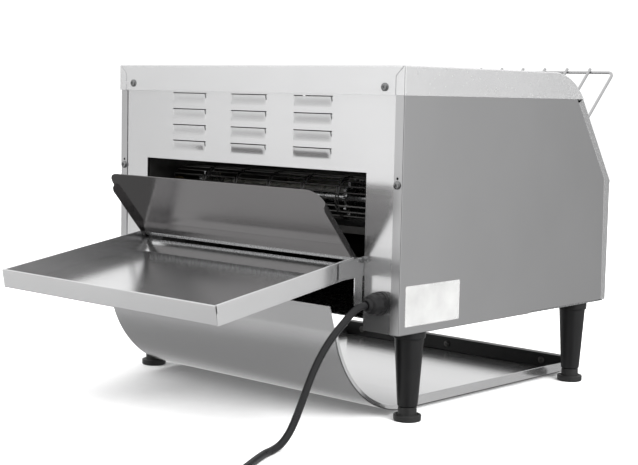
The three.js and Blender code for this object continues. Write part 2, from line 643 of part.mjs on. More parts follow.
function returnChute() {
  const { halfWidth, floorZ, frontY, bendY, bendR, lip, flange } = CHUTE;
  const path = [lip, ...chuteArc(bendR), [frontY, floorZ]];
  const sheet = bentSheet(path, -halfWidth, halfWidth, -SHEET);
  const rails = [-1, 1].flatMap((side) => {
    const [x0, x1] = [side * halfWidth, side * (halfWidth - SHEET)].sort((a, b) => a - b);
    const flat = [[frontY, floorZ], [frontY, floorZ + flange], [bendY - 14, floorZ + flange], [bendY, floorZ + 5],
      [bendY, floorZ]];
    const hem = [...chuteArc(bendR), ...chuteArc(bendR - 5).reverse()];
    return [alongX(flat, x0, x1), alongX(hem, x0, x1)];
  });
  return join(sheet, ...rails);
}

const stopInside = CHUTE.halfWidth - SHEET - GAP;
const stopFloor = CHUTE.floorZ + SHEET + GAP;
add('return_chute', returnChute(), STEEL);
add('chute_stop_bar', box(-stopInside, stopInside, CHUTE.frontY, CHUTE.frontY + 12, stopFloor, 24), BLACK_PLASTIC);

// ---------------------------------------------------------------- legs and feet
function leg() {
  const { topR, bottomR, bottomZ } = LEG;
  return turned([[0, 40], [4.6, 40], [4.6, bottomZ], [bottomR, bottomZ], [topR - 1.4, BASE_Z - 8], [topR, BASE_Z - 7],
    [topR, BASE_Z], [0, BASE_Z]]);
}

function foot() {
  const neckTop = LEG.bottomZ - GAP;
  return turned([[0, 0], [14, 0], [15.5, 1.5], [15.5, 6], [14, 7.5], [8.5, 7.5], [8.5, neckTop], [4, neckTop],
    [4, 37], [0, 37]]);
}

for (const [end, y] of [['front', LEG.frontY], ['rear', LEG.rearY]]) {
  for (const [side, x] of [['left', -LEG.x], ['right', LEG.x]]) {
    add(`leg_${end}_${side}`, leg().translate(x, y, 0), BLACK_PLASTIC);
    add(`foot_${end}_${side}`, foot().translate(x, y, 0), BLACK_RUBBER);
  }
}

// ---------------------------------------------------------------- mains cord
function cordGland() {
  const profile = [[0, -9], [8, -9], [8, GAP], [13, GAP], [13, 7], [11.5, 9], [10.5, 17], [6.5, GLAND.tipY],
    [0, GLAND.tipY]];
  return turned(profile, 24).rotateX(-Math.PI / 2).translate(GLAND.x, 0, GLAND.z);
}

// Down from the gland and out along the table to the coil.
const cordRoute = [
  [-206, 24.8, 133], [-206, 34, 132], [-205.5, 46, 126.4], [-205, 57, 118], [-205, 69, 109.2],
  [-205, 80, 99.6], [-205, 90, 89.2], [-205, 99, 77.6], [-205, 107, 65], [-205.5, 115, 51.2],
  [-206, 123, 37.4], [-207, 131.8, 24.4], [-208.5, 142, 13.6], [-211, 154.5, 6.8], [-214.5, 168, 4.4],
  [-220, 186, 4.2], [-228.5, 205, 4.2], [-238, 224, 4.2], [-249.8, 247.6, 4.2],
  [-259.4, 267.9, 4.2], [-268.9, 288.2, 4.2],
];

// The coil's direction where the cord joins and leaves it, and the tail that runs on from there.
const entry = radians(COIL.entry);
const tangent = [-Math.sin(entry), Math.cos(entry)];
const joinPoint = [COIL.x + COIL.outer * Math.cos(entry), COIL.y + COIL.outer * Math.sin(entry)];
const onTail = (distance, z) => [joinPoint[0] + tangent[0] * distance, joinPoint[1] + tangent[1] * distance, z];
const PLUG_START = 46;
const PLUG_Z = 14.4;

function cordCoil() {
  const low = 0.2;
  const high = 4 * CORD_R + 0.6;
  const inside = COIL.inner - CORD_R - 0.3;
  const outside = COIL.outer + CORD_R + 0.3;
  const profile = [[inside, low + 3], [inside + 3, low], [outside - 3, low], [outside, low + 3],
    [outside, high - 3], [outside - 3, high], [inside + 3, high], [inside, high - 3], [inside, low + 3]];
  return turned(profile, 28).translate(COIL.x, COIL.y, 0);
}

// Two-pin plug, its axis along +Z before it is laid down.
function powerPlug() {
  const body = turned([[0, 0], [5.2, 0], [6, 22], [11, 27], [14, 34], [14, 50], [12.5, 52], [0, 52]], 24);
  const pins = [-9.5, 9.5].map((x) => alongZ(circle(x, 0, 2.4, 12), 50, 70));
  const plug = join(body, ...pins).rotateX(-Math.PI / 2).rotateZ(entry);
  return plug.translate(...onTail(PLUG_START, PLUG_Z));
}

add('cord_gland', cordGland(), BLACK_PLASTIC);
add('power_cord', tube(cordRoute, CORD_R, 30), BLACK_RUBBER);
add('cord_coil', cordCoil(), BLACK_RUBBER);
const tailPoints = [[28, 12.6], [37, 13.4], [PLUG_START - 2 * GAP, 14.2]].map(([d, z]) => onTail(d, z));
add('cord_tail', tube(tailPoints, CORD_R, 3), BLACK_RUBBER);
add('power_plug', powerPlug(), BLACK_RUBBER);

export default object;
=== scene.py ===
"""Looks for the counter-top conveyor toaster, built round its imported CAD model. Metres, +Z up, rear at +Y."""

import json
import math

import bmesh
import bpy
from mathutils import Matrix, Vector


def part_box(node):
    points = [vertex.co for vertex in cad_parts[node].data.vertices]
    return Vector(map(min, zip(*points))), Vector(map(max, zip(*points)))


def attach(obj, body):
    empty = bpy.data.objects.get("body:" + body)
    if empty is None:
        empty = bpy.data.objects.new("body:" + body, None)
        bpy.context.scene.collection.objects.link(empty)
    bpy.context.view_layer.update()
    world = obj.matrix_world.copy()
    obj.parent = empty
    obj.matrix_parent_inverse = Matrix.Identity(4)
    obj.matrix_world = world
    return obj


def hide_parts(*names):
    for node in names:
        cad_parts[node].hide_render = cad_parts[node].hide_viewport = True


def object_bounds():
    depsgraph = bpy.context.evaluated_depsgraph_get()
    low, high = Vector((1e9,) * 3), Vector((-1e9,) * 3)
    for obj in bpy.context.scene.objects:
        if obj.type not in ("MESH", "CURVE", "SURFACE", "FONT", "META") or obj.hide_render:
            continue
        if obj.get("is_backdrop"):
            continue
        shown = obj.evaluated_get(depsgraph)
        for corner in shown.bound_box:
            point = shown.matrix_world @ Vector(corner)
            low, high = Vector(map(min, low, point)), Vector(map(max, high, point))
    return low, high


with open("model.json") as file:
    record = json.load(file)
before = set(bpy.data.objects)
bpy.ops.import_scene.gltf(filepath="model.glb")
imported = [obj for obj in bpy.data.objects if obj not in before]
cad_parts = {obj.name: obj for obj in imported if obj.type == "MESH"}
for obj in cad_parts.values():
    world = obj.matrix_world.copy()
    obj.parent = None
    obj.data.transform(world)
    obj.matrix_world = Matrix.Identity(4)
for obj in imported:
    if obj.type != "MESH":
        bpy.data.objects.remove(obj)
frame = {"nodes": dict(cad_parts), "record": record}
cad_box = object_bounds()

# ---------------------------------------------------------------- places taken from the frame
MM = 0.001
SHEET = 1.2 * MM
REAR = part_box("left_side_panel")[1].y
HALF_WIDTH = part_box("right_side_panel")[1].x
COVER_LOW, COVER_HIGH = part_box("top_cover")
PANEL_LOW, PANEL_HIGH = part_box("rear_panel")
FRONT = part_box("front_panel")[0].y
BASE_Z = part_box("left_side_panel")[0].z
CONTROL_Z = (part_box("power_switch")[0].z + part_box("power_switch")[1].z) / 2

CAMERA_AT = (-1.1603, 1.2764, 0.3551)
CAMERA_FORWARD = (0.6747, -0.7314, -0.0988)
CAMERA_RIGHT = (-0.7335, -0.6794, 0.0209)
CAMERA_LENS = 78.655

CORD_RADIUS = 4 * MM
# The cord's route from the gland to the coil; y is measured from the rear panel.
CORD_ROUTE = [
    (-0.206, 0.0248, 0.133), (-0.206, 0.034, 0.132), (-0.2055, 0.046, 0.1264), (-0.205, 0.057, 0.118),
    (-0.205, 0.069, 0.1092), (-0.205, 0.080, 0.0996), (-0.205, 0.090, 0.0892), (-0.205, 0.099, 0.0776),
    (-0.205, 0.107, 0.065), (-0.2055, 0.115, 0.0512), (-0.206, 0.123, 0.0374), (-0.207, 0.1318, 0.0244),
    (-0.2085, 0.142, 0.0136), (-0.211, 0.1545, 0.0068), (-0.2145, 0.168, 0.0044), (-0.220, 0.186, 0.0042),
    (-0.2285, 0.205, 0.0042), (-0.238, 0.224, 0.0042), (-0.2498, 0.2476, 0.0042),
    (-0.2594, 0.2679, 0.0042), (-0.2689, 0.2882, 0.0042),
]
COIL_LOW, COIL_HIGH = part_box("cord_coil")
COIL_CENTRE = (COIL_LOW + COIL_HIGH) / 2
COIL_OUTER = 49 * MM
COIL_TURNS = 4
COIL_ENTRY = math.radians(27)
COIL_POINTS = 16  # points in each turn


# ---------------------------------------------------------------- camera and cord
def place_camera():
    data = bpy.data.cameras.new("camera")
    data.lens = CAMERA_LENS
    camera = bpy.data.objects.new("camera", data)
    bpy.context.collection.objects.link(camera)
    forward = Vector(CAMERA_FORWARD).normalized()
    right = Vector(CAMERA_RIGHT)
    right = (right - forward * right.dot(forward)).normalized()
    turn = Matrix((right, right.cross(forward), -forward)).transposed()
    camera.matrix_world = Matrix.Translation(CAMERA_AT) @ turn.to_4x4()
    bpy.context.scene.camera = camera


def coil_point(turns):
    """A flat spiral inwards for two turns, then the same one outwards on top of it."""
    layers = COIL_TURNS / 2
    inward = min(turns, COIL_TURNS - turns)
    radius = COIL_OUTER - 2 * CORD_RADIUS * inward
    climb = min(max((turns - layers) * 4 + 0.5, 0), 1)
    climb = climb * climb * (3 - 2 * climb)
    angle = COIL_ENTRY + turns * 2 * math.pi
    return (
        COIL_CENTRE.x + radius * math.cos(angle),
        COIL_CENTRE.y + radius * math.sin(angle),
        CORD_ROUTE[-1][2] + 2 * CORD_RADIUS * climb,
    )


def tail_point(distance, z):
    """A point on the straight line that leaves the coil where the cord joins it."""
    x = COIL_CENTRE.x + COIL_OUTER * math.cos(COIL_ENTRY) - distance * math.sin(COIL_ENTRY)
    y = COIL_CENTRE.y + COIL_OUTER * math.sin(COIL_ENTRY) + distance * math.cos(COIL_ENTRY)
    return (x, y, z)


def cord_points():
    points = [(x, REAR + y, z) for x, y, z in CORD_ROUTE]
    points += [coil_point(i / COIL_POINTS) for i in range(COIL_TURNS * COIL_POINTS + 1)]
    return points + [tail_point(0.018, 0.0124), tail_point(0.034, 0.0132), tail_point(0.0475, 0.0142)]


def curve_through(name, points, radius, resolution=6):
    """A round wire on one smooth open curve through the points."""
    curve = bpy.data.curves.new(name, "CURVE")
    curve.dimensions = "3D"
    curve.bevel_depth = radius
    curve.bevel_resolution = 5
    curve.resolution_u = resolution
    curve.use_fill_caps = True
    spline = curve.splines.new("BEZIER")
    spline.bezier_points.add(len(points) - 1)
    for knot, point in zip(spline.bezier_points, points):
        knot.co = point
        knot.handle_left_type = knot.handle_right_type = "AUTO"
    obj = bpy.data.objects.new(name, curve)
    bpy.context.collection.objects.link(obj)
    return obj


place_camera()
cord = curve_through("mains_cord", cord_points(), CORD_RADIUS)


# ---------------------------------------------------------------- finishes
class Shader:
    """One Principled material and the nodes that vary it over a surface."""

    def __init__(self, name, metallic, **sockets):
        self.material = bpy.data.materials.new(name)
        self.material.use_nodes = True
        self.nodes = self.material.node_tree.nodes
        self.links = self.material.node_tree.links
        self.bsdf = self.nodes["Principled BSDF"]
        self.bsdf.inputs["Metallic"].default_value = metallic
        for socket, value in sockets.items():
            self.bsdf.inputs[socket.replace("_", " ")].default_value = value
        self.coordinates = self.nodes.new("ShaderNodeTexCoord").outputs["Object"]

    def noise(self, scale, stretch=(1, 1, 1), detail=3, contrast=0.5):
        mapping = self.nodes.new("ShaderNodeMapping")
        mapping.inputs["Scale"].default_value = stretch
        noise = self.nodes.new("ShaderNodeTexNoise")
        noise.inputs["Scale"].default_value = scale
        noise.inputs["Detail"].default_value = detail
        noise.inputs["Roughness"].default_value = contrast
        self.links.new(self.coordinates, mapping.inputs["Vector"])
        self.links.new(mapping.outputs["Vector"], noise.inputs["Vector"])
        return noise.outputs["Fac"]

    def spread(self, value, low, high):
        """Noise values near its middle, stretched to run from low to high."""
        node = self.nodes.new("ShaderNodeMapRange")
        node.inputs["From Min"].default_value = 0.3
        node.inputs["From Max"].default_value = 0.7
        node.inputs["To Min"].default_value = low
        node.inputs["To Max"].default_value = high
        self.links.new(value, node.inputs["Value"])
        return node.outputs["Result"]

    def tint(self, value, dark, light):
        ramp = self.nodes.new("ShaderNodeValToRGB")
        ramp.color_ramp.elements[0].position = 0.3
        ramp.color_ramp.elements[0].color = (*dark, 1)
        ramp.color_ramp.elements[1].position = 0.7
        ramp.color_ramp.elements[1].color = (*light, 1)
        self.links.new(value, ramp.inputs["Fac"])
        self.links.new(ramp.outputs["Color"], self.bsdf.inputs["Base Color"])

    def bump(self, height, strength, distance):
        bump = self.nodes.new("ShaderNodeBump")
        bump.inputs["Strength"].default_value = strength
        bump.inputs["Distance"].default_value = distance
        self.links.new(height, bump.inputs["Height"])
        self.links.new(bump.outputs["Normal"], self.bsdf.inputs["Normal"])

    def roughness(self, value):
        self.links.new(value, self.bsdf.inputs["Roughness"])


def shades(color, amount):
    return [c * (1 - amount) for c in color], [min(c * (1 + amount), 1) for c in color]


def rolled_metal(name, color, rough, swing=0.015, metallic=1.0, grain=(0.015, 1, 1), relief=0.02, **sockets):
    """Sheet metal with drawn-out grain in its gloss, faint clouds in its colour and a hint of waviness."""
    shader = Shader(name, metallic, **sockets)
    shader.tint(shader.noise(9, detail=4), *shades(color, 0.02))
    shader.roughness(shader.spread(shader.noise(260, grain, detail=3), rough - swing, rough + swing))
    shader.bump(shader.noise(7, detail=1), relief, 2 * MM)
    return shader.material


def moulded(name, color, rough, texture=700, relief=0.15, metallic=0.0, **sockets):
    """Plastic, rubber or paint with a fine moulded texture and slightly uneven gloss."""
    shader = Shader(name, metallic, **sockets)
    clouds = shader.noise(30, detail=4)
    shader.tint(clouds, *shades(color, 0.12))
    shader.roughness(shader.spread(clouds, rough - 0.06, rough + 0.06))
    shader.bump(shader.noise(texture, detail=2), relief, 0.2 * MM)
    return shader.material


def heated_metal(name, color, rough):
    """Steel darkened unevenly by heat."""
    shader = Shader(name, 0.9)
    clouds = shader.noise(22, detail=6, contrast=0.6)
    shader.tint(clouds, *shades(color, 0.4))
    shader.roughness(shader.spread(clouds, rough - 0.12, rough + 0.12))
    shader.bump(shader.noise(500, detail=4), 0.2, 0.2 * MM)
    return shader.material


BLACK = (0.006, 0.006, 0.0063)
FINISH = {
    "steel": rolled_metal("steel", (0.81, 0.81, 0.815), 0.18, metallic=0.96),
    "cover_steel": rolled_metal("cover_steel", (0.76, 0.76, 0.765), 0.26, metallic=0.86),
    "side_steel": rolled_metal("side_steel", (0.62, 0.62, 0.625), 0.3, grain=(1, 1, 0.015)),
    # painted shade: the flap's mirror steel has a dark base colour that stands in for the dark surroundings its
    # polished face reflects
    "mirror_steel": rolled_metal("mirror_steel", (0.2, 0.194, 0.194), 0.12, relief=0.01),
    "dark_steel": heated_metal("dark_steel", (0.1, 0.098, 0.095), 0.5),
    "chain_steel": heated_metal("chain_steel", (0.12, 0.118, 0.115), 0.4),
    "zinc": rolled_metal("zinc", (0.5, 0.505, 0.51), 0.26, swing=0.08, grain=(1, 1, 1)),
    "screw_zinc": rolled_metal("screw_zinc", (0.3, 0.302, 0.305), 0.16, grain=(1, 1, 1)),
    "chromed_wire": rolled_metal("chromed_wire", (0.6, 0.6, 0.605), 0.3, swing=0.06, grain=(1, 1, 1)),
    "bronze": heated_metal("bronze", (0.6, 0.46, 0.26), 0.4),
    "heater_tube": moulded("heater_tube", (0.85, 0.83, 0.78), 0.3, Transmission_Weight=0.35),
    "motor_paint": moulded("motor_paint", BLACK, 0.38, relief=0.04, Specular_IOR_Level=0.35),
    "black_plastic": moulded("black_plastic", BLACK, 0.38, relief=0.04, Specular_IOR_Level=0.35),
    "cream_plastic": moulded("cream_plastic", (0.78, 0.75, 0.65), 0.5),
    "red_lens": moulded("red_lens", (0.5, 0.02, 0.015), 0.12, relief=0.02, Coat_Weight=0.6),
    "black_rubber": moulded("black_rubber", (0.012, 0.012, 0.012), 0.45, relief=0.05, Specular_IOR_Level=0.35),
    "cord_rubber": moulded("cord_rubber", (0.006, 0.006, 0.0065), 0.3, relief=0.05, Specular_IOR_Level=0.35),
}
LABEL_FILM = moulded("label_film", (0.3, 0.3, 0.297), 0.35, texture=1200, relief=0.03, Coat_Weight=0.2)
PRINTED_INK = moulded("printed_ink", (0.03, 0.03, 0.03), 0.5, relief=0.02)
WHITE_INLAY = moulded("white_inlay", (0.8, 0.8, 0.79), 0.4, relief=0.02)


# ---------------------------------------------------------------- mesh making
def along_x(a, b, t):
    return (t, a, b)


def along_y(a, b, t):
    return (a, t, b)


def along_z(a, b, t):
    return (a, b, t)


def build(name, points, faces):
    mesh = bpy.data.meshes.new(name)
    mesh.from_pydata([tuple(p) for p in points], [], faces)
    tidy = bmesh.new()
    tidy.from_mesh(mesh)
    bmesh.ops.remove_doubles(tidy, verts=tidy.verts, dist=1e-6)
    bmesh.ops.recalc_face_normals(tidy, faces=tidy.faces)
    tidy.to_mesh(mesh)
    tidy.free()
    obj = bpy.data.objects.new(name, mesh)
    bpy.context.collection.objects.link(obj)
    return obj


def joined(name, *parts):
    """Several meshes as one object."""
    whole = bmesh.new()
    for part in parts:
        part.data.transform(part.matrix_world)
        whole.from_mesh(part.data)
        discard(part)
    mesh = bpy.data.meshes.new(name)
    whole.to_mesh(mesh)
    whole.free()
    obj = bpy.data.objects.new(name, mesh)
    bpy.context.collection.objects.link(obj)
    return obj


def discard(obj):
    mesh = obj.data
    bpy.data.objects.remove(obj)
    if mesh.users == 0:
        bpy.data.meshes.remove(mesh)


def apply_modifiers(obj):
    bpy.context.view_layer.update()
    graph = bpy.context.evaluated_depsgraph_get()
    mesh = bpy.data.meshes.new_from_object(obj.evaluated_get(graph))
    obj.modifiers.clear()
    old = obj.data
    obj.data = mesh
    mesh.name = obj.name
    bpy.data.meshes.remove(old)


def bevelled(obj, width, segments):
    bevel = obj.modifiers.new("bevel", "BEVEL")
    bevel.width = width
    bevel.segments = segments
    bevel.limit_method = "ANGLE"
    bevel.angle_limit = math.radians(32)


def settle(obj, bend=0.0, sheet=0.0, cutters=(), edge=0.0):
    """Bend a skin's corners, thicken it, cut its holes, soften its edges and smooth its shading."""
    if bend:
        bevelled(obj, bend, 4)
        apply_modifiers(obj)
    if sheet:
        solidify = obj.modifiers.new("sheet", "SOLIDIFY")
        solidify.thickness = sheet
        solidify.offset = -1
        solidify.use_even_offset = True
        apply_modifiers(obj)
    for cutter in cutters:
        cut = obj.modifiers.new("cut", "BOOLEAN")
        cut.operation = "DIFFERENCE"
        cut.solver = "EXACT"
        cut.object = cutter
    if cutters:
        apply_modifiers(obj)
    for cutter in cutters:
        discard(cutter)
    if edge:
        bevelled(obj, edge, 2)
        apply_modifiers(obj)
    for polygon in obj.data.polygons:
        polygon.use_smooth = True
    obj.data.set_sharp_from_angle(angle=math.radians(38))
    weighted = obj.modifiers.new("normals", "WEIGHTED_NORMAL")
    weighted.keep_sharp = True
    apply_modifiers(obj)
    return obj


def dress(obj, finish, body, *nodes):
    """Give a piece its finish and its body, and let it stand for CAD nodes."""
    obj.data.materials.clear()
    obj.data.materials.append(FINISH[finish])
    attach(obj, body)
    if nodes:
        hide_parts(*nodes)
    return obj


def arc(a, b, radius, start, stop, steps):
    """Points on a circle from one angle to another, in degrees."""
    angles = [math.radians(start + (stop - start) * i / steps) for i in range(steps + 1)]
    return [(a + radius * math.cos(t), b + radius * math.sin(t)) for t in angles]


def filleted(points, radius, steps=5):
    """The same open line of 2D points with its inner corners rounded."""
    rounded = [points[0]]
    for before, corner, after in zip(points, points[1:], points[2:]):
        corner = Vector(corner)
        back = Vector(before) - corner
        ahead = Vector(after) - corner
        half = back.angle(ahead) / 2
        reach = min(radius / math.tan(half), back.length * 0.45, ahead.length * 0.45)
        start = corner + back.normalized() * reach
        end = corner + ahead.normalized() * reach
        for i in range(steps + 1):
            t = i / steps
            rounded.append(tuple(start * (1 - t) ** 2 + corner * 2 * t * (1 - t) + end * t * t))
    return rounded + [points[-1]]


def offset_line(points, distance):
    """The line moved sideways, to the left of the way it runs."""
    runs = [(Vector(b) - Vector(a)).normalized() for a, b in zip(points, points[1:])]
    normals = [Vector((-run.y, run.x)) for run in runs]
    moved = []
    for i, point in enumerate(points):
        before = normals[max(i - 1, 0)]
        after = normals[min(i, len(normals) - 1)]
        moved.append(tuple(Vector(point) + (before + after) * (distance / (1 + before.dot(after)))))
    return moved


def ribbon(name, line, thickness, start, stop, place=along_x):
    """A strip of sheet whose section follows a line and whose thickness lies to the line's left."""
    section = list(line) + list(reversed(offset_line(line, thickness)))
    count = len(section)
    points = [place(a, b, t) for t in (start, stop) for a, b in section]
    sides = [(i, (i + 1) % count, count + (i + 1) % count, count + i) for i in range(count)]
    ends = []
    for i in range(len(line) - 1):
        quad = (i, i + 1, count - 2 - i, count - 1 - i)
        ends += [quad, tuple(count + j for j in quad)]
    return build(name, points, sides + ends)


def plate(name, outline, start, stop, place=along_x):
    """A flat outline pushed from start to stop."""
    count = len(outline)
    points = [place(a, b, t) for t in (start, stop) for a, b in outline]
    sides = [(i, (i + 1) % count, count + (i + 1) % count, count + i) for i in range(count)]
    return build(name, points, sides + [tuple(range(count)), tuple(range(count, 2 * count))])


def block(name, low, high):
    outline = [(low[0], low[1]), (high[0], low[1]), (high[0], high[1]), (low[0], high[1])]
    return plate(name, outline, low[2], high[2], along_z)


def turned(name, profile, steps=64, shape=None):
    """A (radius, height) profile turned about Z. shape(radius, height, angle) may change the radius."""
    points = []
    for radius, height in profile:
        for i in range(steps):
            angle = i * 2 * math.pi / steps
            r = shape(radius, height, angle) if shape else radius
            points.append((r * math.cos(angle), r * math.sin(angle), height))
    faces = []
    for row in range(len(profile) - 1):
        for i in range(steps):
            j = (i + 1) % steps
            faces.append((row * steps + i, row * steps + j, (row + 1) * steps + j, (row + 1) * steps + i))
    return build(name, points, faces)


def pose_mesh(obj, origin, axis=(0, 0, 1)):
    """Lay a mesh made about +Z along an axis from an origin."""
    turn = Vector((0, 0, 1)).rotation_difference(Vector(axis)).to_matrix().to_4x4()
    obj.data.transform(Matrix.Translation(origin) @ turn)
    return obj


def cylinder(name, radius, start, stop, axis, steps=48):
    """A rod from one point along an axis for a length of stop - start."""
    profile = [(0, 0), (radius, 0), (radius, stop - start), (0, stop - start)]
    return pose_mesh(turned(name, profile, steps), Vector(axis) * start, axis)


def wire(name, path, radius, sides=10):
    """A round bar along a path of points, with closed ends."""
    path = [Vector(p) for p in path]
    count = len(path)
    tangents = [(path[min(i + 1, count - 1)] - path[max(i - 1, 0)]).normalized() for i in range(count)]
    side = tangents[0].orthogonal().normalized()
    points = []
    for i, (point, tangent) in enumerate(zip(path, tangents)):
        if i:
            side = tangents[i - 1].rotation_difference(tangent) @ side
        up = tangent.cross(side)
        for k in range(sides):
            angle = k * 2 * math.pi / sides
            points.append(point + (side * math.cos(angle) + up * math.sin(angle)) * radius)
    faces = [tuple(range(sides)), tuple(range((count - 1) * sides, count * sides))]
    for i in range(count - 1):
        for k in range(sides):
            j = (k + 1) % sides
            faces.append((i * sides + k, i * sides + j, (i + 1) * sides + j, (i + 1) * sides + k))
    return build(name, points, faces)


# ---------------------------------------------------------------- screws
def screw_head(name):
    """A pan head with a cross recess, its seat at the origin and its top towards +Z."""
    dome = arc(0, 0, 1, 0, 90, 6)
    profile = [(0, -1.0 * MM), (2.2 * MM, -1.0 * MM), (2.2 * MM, 0), (4.5 * MM, 0)]
    profile += [((2.4 + 2.1 * c) * MM, (0.9 + 1.4 * s) * MM) for c, s in dome] + [(0, 2.45 * MM)]
    head = turned(name, profile, 32)
    recess = []
    for across, along in ((0.45, 2.1), (2.1, 0.45)):
        low, high = (-across * MM, -along * MM, 1.1 * MM), (across * MM, along * MM, 4 * MM)
        recess.append(block("recess", low, high))
    return settle(head, cutters=recess)


SCREW = screw_head("screw_pattern")


def screw(name, place, axis, body="root", turn=0.0, finish="screw_zinc"):
    head = bpy.data.objects.new(name, SCREW.data.copy())
    bpy.context.collection.objects.link(head)
    head.data.transform(Matrix.Rotation(turn, 4, "Z"))
    pose_mesh(head, place, axis)
    return dress(head, finish, body)


# ---------------------------------------------------------------- casing
RETURN_WIDTH = 12 * MM
BEND_RADIUS = 1.8 * MM
SEAM_WIDTH = 0.9 * MM


def cover_section():
    """The top cover's outline from the top of its rear flange to its front edge, in (y, z)."""
    slope_top = REAR - 0.345
    bend_start = REAR - 0.280
    drop = COVER_HIGH.z - COVER_LOW.z
    run = bend_start - slope_top
    radius = (run * run + drop * drop) / (2 * drop)
    sweep = math.degrees(math.asin(run / radius))
    return arc(bend_start, COVER_HIGH.z - radius, radius, 90, 90 + sweep, 18)


def top_cover():
    front = cover_section()
    rear, top, low = COVER_HIGH.y, COVER_HIGH.z, COVER_LOW.z
    spine = [(rear, low), (rear, top)] + front
    count = len(spine)
    points = [(x, y, z) for x in (COVER_LOW.x, COVER_HIGH.x) for y, z in spine]
    across = [(i, i + 1, count + i + 1, count + i) for i in range(count - 1)]
    cover = build("top_cover_shell", points, across + [tuple(range(count)), tuple(range(count, 2 * count))])
    seams = []
    for side in (-1, 1):
        x = side * (COVER_HIGH.x - RETURN_WIDTH - 1 * MM)
        line = [(x, low - 1 * MM), (x, top - 11 * MM), (side * (COVER_HIGH.x + 1 * MM), top + 2.5 * MM)]
        seams.append(ribbon("seam", line, SEAM_WIDTH, rear - 0.8 * MM, rear + 2 * MM, along_y))
    settle(cover, bend=BEND_RADIUS, sheet=SHEET, cutters=seams, edge=0.15 * MM)
    dress(cover, "cover_steel", "root", "top_cover")
    for side, name in ((-1, "left"), (1, "right")):
        screw(f"cover_screw_{name}", (side * 0.206, rear, 0.364), (0, 1, 0), turn=0.5 + side)


def side_panel(side, name):
    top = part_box(f"{name}_side_panel")[1].z
    x = side * HALF_WIDTH
    outline = [
        (0, BASE_Z), (0, top), (-0.280, top), (-0.310, 0.374), (-0.335, 0.351), (-0.400, 0.256),
        (-0.404, 0.103), (-0.247, 0.103), (-0.244, BASE_Z),
    ]
    points = [(x, REAR + y, z) for y, z in outline]
    inside = x - side * RETURN_WIDTH
    count = len(outline)
    points += [(inside, REAR, BASE_Z), (inside, REAR, top), (inside, REAR - 0.244, BASE_Z)]
    returns = [(0, 1, count + 1, count), (count - 1, 0, count, count + 2)]
    panel = build(f"{name}_side_panel_shell", points, [tuple(range(count))] + returns)
    tab_hole = cylinder("hole", 1.5 * MM, 0, 8 * MM, (0, 1, 0), 24)
    tab_hole.data.transform(Matrix.Translation((side * 0.225, REAR - 4 * MM, 0.268)))
    settle(panel, bend=1.2 * MM, sheet=SHEET, cutters=[tab_hole], edge=0.15 * MM)
    dress(panel, "side_steel", "root", f"{name}_side_panel")
    screw(f"side_screw_{name}", (side * 0.225, REAR, 0.261), (0, 1, 0), turn=1.1 * side)


OPENING_HALF_WIDTH = 0.181
OPENING_TOP = 0.272
PANEL_RECESS = 0.9 * MM
LOUVRE_WIDTH = 59 * MM
LOUVRE_HEIGHT = 12 * MM
LOUVRE_DEPTH = 2.4 * MM
LOUVRE_END = 7 * MM
LOUVRE_COLUMNS = [0.002 + i * 0.102 for i in (-1, 0, 1)]
LOUVRE_TOPS = [0.3525 - i * 0.0192 for i in range(4)]
SLIT = 1.1 * MM


def louvre_relief(x, z):
    """How far the pressed panel stands out at a point: scoops open along their tops."""
    for middle in LOUVRE_COLUMNS:
        inside = LOUVRE_WIDTH / 2 - abs(x - middle)
        if inside <= 0:
            continue
        end = 1 - max(1 - inside / LOUVRE_END, 0) ** 2
        for top in LOUVRE_TOPS:
            rise = (z - (top - LOUVRE_HEIGHT)) / LOUVRE_HEIGHT
            if 0 < rise <= 1.0001:
                swell = 0.45 * rise + 0.55 * rise * rise * (3 - 2 * rise)
                return LOUVRE_DEPTH * swell * math.sqrt(end)
    return 0.0


def rear_panel():
    rear = REAR - PANEL_RECESS
    half = LOUVRE_WIDTH / 2
    ends = [0, 0.6, 1.4, 2.5, 3.8, 5.3, 7]
    xs = [PANEL_LOW.x, -OPENING_HALF_WIDTH, OPENING_HALF_WIDTH, PANEL_HIGH.x]
    for middle in LOUVRE_COLUMNS:
        xs += [middle - half + e * MM for e in ends] + [middle + half - e * MM for e in ends]
        xs += [middle - 12 * MM, middle, middle + 12 * MM]
    zs = [PANEL_LOW.z, OPENING_TOP, PANEL_HIGH.z]
    for top in LOUVRE_TOPS:
        zs += [top + SLIT] + [top - LOUVRE_HEIGHT * i / 8 for i in range(9)]
    xs, zs = sorted(xs), sorted(zs)
    points, faces = [], []
    for x0, x1 in zip(xs, xs[1:]):
        for z0, z1 in zip(zs, zs[1:]):
            x, z = (x0 + x1) / 2, (z0 + z1) / 2
            in_column = any(abs(x - middle) < half for middle in LOUVRE_COLUMNS)
            in_slit = in_column and any(top < z < top + SLIT for top in LOUVRE_TOPS)
            in_opening = abs(x) < OPENING_HALF_WIDTH and z < OPENING_TOP
            if in_slit or in_opening:
                continue
            low = len(points)
            square = ((x0, z0), (x1, z0), (x1, z1), (x0, z1))
            points += [(a, rear + louvre_relief(a, b), b) for a, b in square]
            faces.append((low, low + 1, low + 2, low + 3))
    panel = build("rear_panel_pressed", points, faces)
    if sum(p.normal.y for p in panel.data.polygons) < 0:
        panel.data.flip_normals()
    settle(panel, sheet=1.0 * MM)
    dress(panel, "steel", "root", "rear_panel")


def rating_label():
    """A blank sticker low on the left side panel, near the rear."""
    corner = 1.5 * MM
    left, right = REAR - 0.105 + corner, REAR - 0.010 - corner
    low, high = 0.109 + corner, 0.153 - corner
    outline = arc(right, high, corner, 0, 90, 4) + arc(left, high, corner, 90, 180, 4)
    outline += arc(left, low, corner, 180, 270, 4) + arc(right, low, corner, 270, 360, 4)
    label = settle(plate("blank_label", outline, -HALF_WIDTH - 0.25 * MM, -HALF_WIDTH - 0.02 * MM))
    dress(label, "cream_plastic", "root")
    label.data.materials[0] = LABEL_FILM


